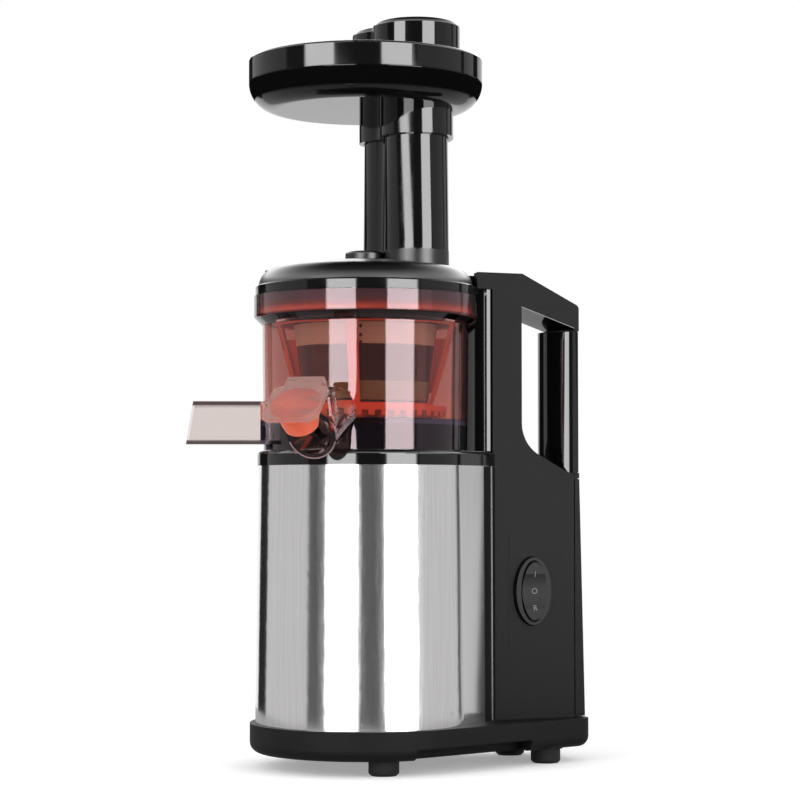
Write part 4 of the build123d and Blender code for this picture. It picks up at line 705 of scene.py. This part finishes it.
def teeth_tree():
    """A ring of equal blocks, set out evenly round Z."""
    tree = bpy.data.node_groups.new("foot_teeth", "GeometryNodeTree")
    for name, kind in (("Teeth", "Int"), ("Radius", "Float"), ("Tooth Size", "Vector"), ("Place", "Vector"),
                       ("Finish", "Material")):
        tree.interface.new_socket(name=name, in_out="INPUT", socket_type="NodeSocket" + kind)
    tree.interface.new_socket(name="Geometry", in_out="OUTPUT", socket_type="NodeSocketGeometry")
    given = add(tree, "NodeGroupInput").outputs
    circle = add(tree, "GeometryNodeMeshCircle", {"Vertices": given["Teeth"], "Radius": given["Radius"]})
    tooth = add(tree, "GeometryNodeMeshCube", {"Size": given["Tooth Size"]})
    outwards = add(tree, "GeometryNodeInputPosition")
    turn = add(tree, "FunctionNodeAlignRotationToVector", {"Vector": outwards.outputs[0]}, axis="X")
    ring = add(tree, "GeometryNodeInstanceOnPoints", {"Points": circle.outputs["Mesh"],
                                                      "Instance": tooth.outputs["Mesh"],
                                                      "Rotation": turn.outputs["Rotation"]})
    raised = add(tree, "GeometryNodeTransform", {"Geometry": ring.outputs["Instances"],
                                                 "Translation": given["Place"]})
    real = add(tree, "GeometryNodeRealizeInstances", {"Geometry": raised.outputs["Geometry"]})
    dressed = add(tree, "GeometryNodeSetMaterial", {"Geometry": real.outputs["Geometry"],
                                                    "Material": given["Finish"]})
    add(tree, "NodeGroupOutput", {0: dressed.outputs["Geometry"]})
    return tree


def grown(name, tree, values):
    """The plain mesh that a geometry tree makes with these named inputs."""
    holder = bpy.data.objects.new(name, bpy.data.meshes.new(name + "_seed"))
    modifier = holder.modifiers.new(name, "NODES")
    modifier.node_group = tree
    for item in tree.interface.items_tree:
        if item.in_out == "INPUT":
            modifier[item.identifier] = values[item.name]
    return evaluated_mesh(holder)


def build_foot_teeth():
    """The blunt teeth along the lower edge of the brush's foot, which start inside its rim."""
    inner, outer = FOOT_RADII
    low, high = FOOT_HEIGHTS
    middle = (outer + inner) / 2
    size = (outer - inner, math.pi * middle / FOOT_TEETH, high - low)
    values = {"Teeth": FOOT_TEETH, "Radius": middle * MM, "Finish": finishes["orange_abs"],
              "Tooth Size": tuple(side * MM for side in size), "Place": (0.0, 0.0, (low + high) / 2 * MM)}
    mesh = grown("brush_foot_teeth", teeth_tree(), values)
    piece_from("brush_foot_teeth", mesh, finishes["orange_abs"], "brush")


def build_plug():
    """The silicone plug under the spout's cap, at the full depth that seats in the spout."""
    mesh = merged_copy("juice_cap_seal")
    middle = sum((vertex.co for vertex in mesh.vertices), Vector()) / len(mesh.vertices)
    low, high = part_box("juice_cap")
    axis = max(mesh.polygons, key=lambda face: face.area).normal.copy()
    if (middle - (Vector(low) + Vector(high)) / 2).dot(axis) < 0:
        axis.negate()
    for vertex in mesh.vertices:
        if (vertex.co - middle).dot(axis) > 0:
            vertex.co += axis * PLUG_DEEPER * MM
    soften(mesh, 30)
    made = piece_from("juice_cap_plug", mesh, finishes["orange_silicone"], "juice_cap")
    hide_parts("juice_cap_seal")


def build_spout_lip():
    """The lower lip of the juice spout's mouth, a bead in a pale painted highlight."""
    turn, fall = SPOUT_AZIMUTH, SPOUT_DROP
    middle = Vector((SPOUT_END * math.sin(turn), -SPOUT_END * math.cos(turn), SPOUT_END_Z))
    across = Vector((math.cos(turn), math.sin(turn), 0))
    ahead = Vector((math.sin(turn) * math.cos(fall), -math.cos(turn) * math.cos(fall), -math.sin(fall)))
    up = ahead.cross(across)
    middle -= ahead * LIP_BACK
    path = []
    for step in range(LIP_STEPS + 1):
        angle = math.radians(LIP_FROM + LIP_STEP * step)
        path.append(middle + across * LIP_R * math.cos(angle) + up * LIP_R * math.sin(angle))
    bead("spout_lip", path, LIP_BEAD_R, finishes["lip"], "base")


# ---------------------------------------------------------------- spine
def skin_point(side, back, proud, z):
    """A point on the steel's flat side, in millimetres: back from its rear corner, proud of the sheet."""
    share = (z - SKIN_FOOT) / (SKIN_HEAD - SKIN_FOOT)
    round_r = SKIN_R_FOOT + (SKIN_R_HEAD - SKIN_R_FOOT) * share
    corner = Vector((SPINE_HALF, SKIN_REAR))
    turn = math.atan2(corner.y, corner.x) - math.acos(round_r / corner.length)
    out = Vector((math.cos(turn), math.sin(turn)))
    along = Vector((-out.y, out.x))
    place = corner - along * back + out * proud
    return side * place.x, place.y, z


def build_skin_shadow_strips():
    """Dark strips of painted shade along the steel's rear ends, where the steel meets the panel, each with a
    folded bright edge.
    """
    heights = (SKIN_FOOT + SKIN_STRIP_CLEAR, SKIN_HEAD - SKIN_STRIP_CLEAR)
    for name, side in (("right", 1), ("left", -1)):
        low, high = ([skin_point(side, *corner, z) for corner in SKIN_SHADOW_STRIP_OUTLINE] for z in heights)
        piece_from("skin_shadow_strip_" + name, prism("skin_shadow_strip_" + name, low, high), finishes["satin_abs"], "base")
        bead("skin_edge_" + name, [skin_point(side, *SKIN_BEAD, z) for z in heights], SKIN_BEAD_R,
             finishes["polished_edge"], "base")


def build_bridge_liner():
    """The glossy underside of the bridge over the hand hole."""
    half = SPINE_HALF - LINER_CLEAR
    corners = [(HOLE_FRONT, HOLE_TOP_FRONT), (HOLE_REAR, HOLE_TOP_REAR), (HOLE_REAR, HOLE_TOP_REAR - LINER_T),
               (HOLE_FRONT, HOLE_TOP_FRONT - LINER_T)]
    left, right = ([(x, y, z) for y, z in corners] for x in (-half, half))
    piece_from("bridge_liner", prism("bridge_liner", left, right), finishes["black_gloss_abs"], "base")


def build_grip():
    """The grip bar, glossy for the fingers and matte along its square heel, and the core that fills its ends."""
    mesh = merged_copy("handle_grip")
    soften(mesh, 30)
    made = piece_from("handle_grip_bar", mesh, finishes["black_gloss_abs"], "base")
    mesh.materials.append(finishes["black_matte_abs"])
    for face in mesh.polygons:
        face.material_index = 1 if face.center.y > GRIP_HEEL * MM else 0
    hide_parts("handle_grip")
    core = merged_copy("handle_grip")
    low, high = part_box("handle_grip")
    middle = (Vector(low) + Vector(high)) / 2
    for vertex in core.vertices:
        for axis in (0, 1):
            vertex.co[axis] = middle[axis] + (vertex.co[axis] - middle[axis]) * CORE_SHARE
        vertex.co.z += CORE_UP * MM if vertex.co.z > middle.z else -CORE_DOWN * MM
    piece_from("handle_grip_core", core, finishes["black_matte_abs"], "base")


# ---------------------------------------------------------------- switch
def build_switch_plate():
    """The field round the switch, a hair proud of the textured panel, in the panel's own textured finish."""
    y0, y1 = PLATE_Y[0] + PLATE_CORNER, PLATE_Y[1] - PLATE_CORNER
    z0, z1 = PLATE_Z[0] + PLATE_CORNER, PLATE_Z[1] - PLATE_CORNER
    outline = []
    for k, (y, z) in enumerate(((y1, z1), (y0, z1), (y0, z0), (y1, z0))):
        for step in range(5):
            angle = math.radians(90 * k + 22.5 * step)
            outline.append((y + PLATE_CORNER * math.cos(angle), z + PLATE_CORNER * math.sin(angle)))
    inner, outer = ([(x, y, z) for y, z in outline] for x in PLATE_X)
    piece_from("switch_plate", prism("switch_plate", inner, outer), finishes["black_matte_abs"], "base")


def build_switch_marks():
    """The marks for on, off and reverse, printed on the rocker's dished face."""
    upright = Matrix(((0, 0, 1, 0), (1, 0, 0, 0), (0, 1, 0, 0), (0, 0, 0, 1)))
    for mark, rise in (("I", MARK_STEP), ("O", 0.0), ("R", -MARK_STEP)):
        name = "rocker_mark_" + mark
        curve = bpy.data.curves.new(name, "FONT")
        curve.body = mark
        curve.size = MARK_SIZE * MM
        curve.extrude = MARK_DEEP * MM
        curve.align_x, curve.align_y = "CENTER", "CENTER"
        mesh = evaluated_mesh(bpy.data.objects.new(name, curve))
        face = min(DISH_X - math.sqrt(DISH_R ** 2 - rise ** 2), ROCKER_FACE)
        place = Matrix.Translation(Vector((face, SWITCH_Y, SWITCH_Z + rise)) * MM)
        mesh.transform(place @ Matrix.Rotation(math.asin(rise / DISH_R), 4, "Y") @ upright)
        piece_from(name, mesh, finishes["printed_grey"], "rocker")


# ---------------------------------------------------------------- studio
def grey(light):
    """A light as a linear grey, as a share of the softboxes' light."""
    return (light / SOFTBOX_LIGHT,) * 3 + (1.0,)


def band_stops():
    """The ramp stops of what stands round the studio, from behind the juicer by way of the left and the right."""
    starts = [(-BACKDROP_FROM, DARK_LIGHT), (SIDE_CARD_LEFT[0], CARD_LIGHT), (SIDE_CARD_LEFT[1], SHADE_LIGHT),
              (SOFTBOX_LEFT[0], SOFTBOX_LIGHT), (SOFTBOX_LEFT[1], SHADE_LIGHT),
              (SOFTBOX_RIGHT[0], SOFTBOX_LIGHT), (SOFTBOX_RIGHT[1], SHADE_LIGHT),
              (SIDE_CARD_RIGHT[0], CARD_LIGHT), (SIDE_CARD_RIGHT[1], DARK_LIGHT),
              (END_CARD_RIGHT[0], CARD_LIGHT), (END_CARD_RIGHT[1], DARK_LIGHT), (BACKDROP_FROM, BACKDROP_LIGHT)]
    before = BACKDROP_LIGHT
    stops = [(0.0, grey(before))]
    for angle, light in starts:
        stops += [((angle + 180 - BAND_EDGE) / 360, grey(before)), ((angle + 180 + BAND_EDGE) / 360, grey(light))]
        before = light
    return stops


def studio_light(tree, direction):
    """What a reflection finds in this direction: two tall softboxes, grey cards, dark gaps and a backdrop."""
    split = add(tree, "ShaderNodeSeparateXYZ", {0: direction})
    azimuth = add(tree, "ShaderNodeMath", {0: split.outputs["Y"], 1: split.outputs["X"]}, operation="ARCTAN2")
    turned = add(tree, "ShaderNodeMath", {0: azimuth.outputs[0], 1: CAMERA_AZIMUTH}, operation="SUBTRACT")
    wrapped = add(tree, "ShaderNodeMath", {0: turned.outputs[0], 1: math.pi, 2: -math.pi}, operation="WRAP")
    height = add(tree, "ShaderNodeMath", {0: split.outputs["Z"]}, operation="ARCSINE").outputs[0]
    # the softboxes' tops lean outwards
    lifted = add(tree, "ShaderNodeMapRange", {"Value": height, "From Min": math.radians(LEAN[0]),
                                              "From Max": math.radians(LEAN[1])}).outputs["Result"]
    right = add(tree, "ShaderNodeMath", {0: wrapped.outputs[0], 1: 0.0}, operation="GREATER_THAN")
    side = add(tree, "ShaderNodeMapRange", {"Value": right.outputs[0], "To Min": math.radians(LEAN_LEFT),
                                            "To Max": math.radians(LEAN_RIGHT)}).outputs["Result"]
    leaned = add(tree, "ShaderNodeMath", {0: lifted, 1: side, 2: wrapped.outputs[0]}, operation="MULTIPLY_ADD")
    around = add(tree, "ShaderNodeMapRange", {"Value": leaned.outputs[0], "From Min": -math.pi,
                                              "From Max": math.pi}).outputs["Result"]
    ramp = add(tree, "ShaderNodeValToRGB", {"Fac": around})
    set_stops(ramp, band_stops())
    light = grey(FLOOR_LIGHT)
    # upwards a reflection finds the pale floor, the softboxes, the canopy and the ceiling
    for (start, end), layer in ((SOFTBOX_FOOT, ramp.outputs["Color"]), (SOFTBOX_TOP, grey(CANOPY_LIGHT)),
                                (CANOPY_FADE, grey(SHADE_LIGHT))):
        share = add(tree, "ShaderNodeMapRange", {"Value": height, "From Min": math.radians(start),
                                                 "From Max": math.radians(end)})
        light = add(tree, "ShaderNodeMix", {"Factor": share.outputs["Result"], 6: light, 7: layer},
                    data_type="RGBA").outputs[2]
    return light


def seen_straight(tree, path):
    """1 where the camera sees a thing itself or through clear plastic."""
    return add(tree, "ShaderNodeMath", {0: path.outputs["Is Camera Ray"], 1: path.outputs["Is Transmission Ray"]},
               operation="MAXIMUM").outputs[0]


def build_world():
    """White to the camera, the studio in reflections, and an even light for everything else."""
    world = bpy.data.worlds.new("studio")
    bpy.context.scene.world = world
    world.use_nodes = True
    tree = world.node_tree
    tree.nodes.clear()
    direction = add(tree, "ShaderNodeTexCoord").outputs["Generated"]
    path = add(tree, "ShaderNodeLightPath")
    plain = add(tree, "ShaderNodeBackground", {"Color": srgb("#ffffff"), "Strength": ROOM_LIGHT})
    studio = add(tree, "ShaderNodeBackground", {"Color": studio_light(tree, direction), "Strength": SOFTBOX_LIGHT})
    white = add(tree, "ShaderNodeBackground", {"Color": srgb("#ffffff"), "Strength": 1.0})
    lit = add(tree, "ShaderNodeMixShader", {0: path.outputs["Is Glossy Ray"], 1: plain.outputs[0],
                                            2: studio.outputs[0]})
    seen = add(tree, "ShaderNodeMixShader", {0: seen_straight(tree, path), 1: lit.outputs[0], 2: white.outputs[0]})
    add(tree, "ShaderNodeOutputWorld", {"Surface": seen.outputs[0]})


def build_lamps():
    """Two large soft lamps that shape the matte pieces; the world gives the reflections."""
    for name, azimuth, power in (("key", -50.0, 9.0), ("fill", 60.0, 6.0)):
        lamp = bpy.data.lights.new(name, "AREA")
        lamp.shape = "RECTANGLE"
        lamp.size, lamp.size_y = LAMP_WIDE, LAMP_TALL
        lamp.energy = power
        holder = bpy.data.objects.new(name, lamp)
        angle = CAMERA_AZIMUTH + math.radians(azimuth)
        holder.location = (LAMP_DISTANCE * math.cos(angle), LAMP_DISTANCE * math.sin(angle), LAMP_HEIGHT)
        aim = Vector((0, 0, LAMP_AIM)) - holder.location
        holder.rotation_euler = aim.to_track_quat("-Z", "Y").to_euler()
        holder.visible_glossy = False
        holder.visible_camera = False
        bpy.context.scene.collection.objects.link(holder)


def build_floor():
    """A pale floor that is seen as white and keeps the juicer's soft shadow."""
    mesh = bpy.data.meshes.new("floor")
    angles = [math.tau * k / 96 for k in range(96)]
    mesh.from_pydata([(FLOOR_R * math.cos(angle), FLOOR_R * math.sin(angle), 0) for angle in angles], [],
                     [range(96)])
    floor = bpy.data.objects.new("floor", mesh)
    bpy.context.scene.collection.objects.link(floor)
    made, tree, shader, _ = material("white_sweep_paper")
    shader.inputs["Base Color"].default_value = srgb("#f2f2f2")
    shader.inputs["Roughness"].default_value = 0.9
    path = add(tree, "ShaderNodeLightPath")
    lift = add(tree, "ShaderNodeMath", {0: seen_straight(tree, path), 1: FLOOR_LIFT}, operation="MULTIPLY")
    glow = add(tree, "ShaderNodeEmission", {"Color": srgb("#ffffff"), "Strength": lift.outputs[0]})
    paper = add(tree, "ShaderNodeAddShader", {0: shader.outputs["BSDF"], 1: glow.outputs[0]})
    mirrored = add(tree, "ShaderNodeEmission", {"Color": srgb("#ffffff"), "Strength": FLOOR_LIGHT})
    lit = add(tree, "ShaderNodeMixShader", {0: path.outputs["Is Glossy Ray"], 1: paper.outputs[0],
                                            2: mirrored.outputs[0]})
    tree.links.new(lit.outputs[0], tree.get_output_node("ALL").inputs["Surface"])
    mesh.materials.append(made)


def build_camera():
    """A long-lens camera at the height of the body, looking up a little."""
    back = Vector((math.cos(CAMERA_AZIMUTH), math.sin(CAMERA_AZIMUTH), 0))
    right = Vector((-math.sin(CAMERA_AZIMUTH), math.cos(CAMERA_AZIMUTH), 0))
    camera = bpy.data.cameras.new("camera")
    camera.lens = CAMERA_LENS
    camera.sensor_width = CAMERA_SENSOR
    camera.clip_start, camera.clip_end = 0.05, 50.0
    holder = bpy.data.objects.new("camera", camera)
    holder.location = back * CAMERA_DISTANCE + right * CAMERA_SIDE + Vector((0, 0, CAMERA_HEIGHT))
    holder.rotation_euler = (math.pi / 2 + CAMERA_PITCH, 0, CAMERA_AZIMUTH + math.pi / 2)
    bpy.context.scene.collection.objects.link(holder)
    bpy.context.scene.camera = holder


build_camera()
build_world()
build_lamps()
build_floor()
dress_nodes()
build_screen_wraps()
build_screen_rivets()
build_brush()
build_rings(BOWL_RINGS)
build_foot_teeth()
build_rings(FOOT_RINGS)
build_plug()
build_spout_lip()
build_skin_shadow_strips()
build_bridge_liner()
build_grip()
build_switch_plate()
build_switch_marks()
bpy.context.scene.view_settings.view_transform = "Standard"
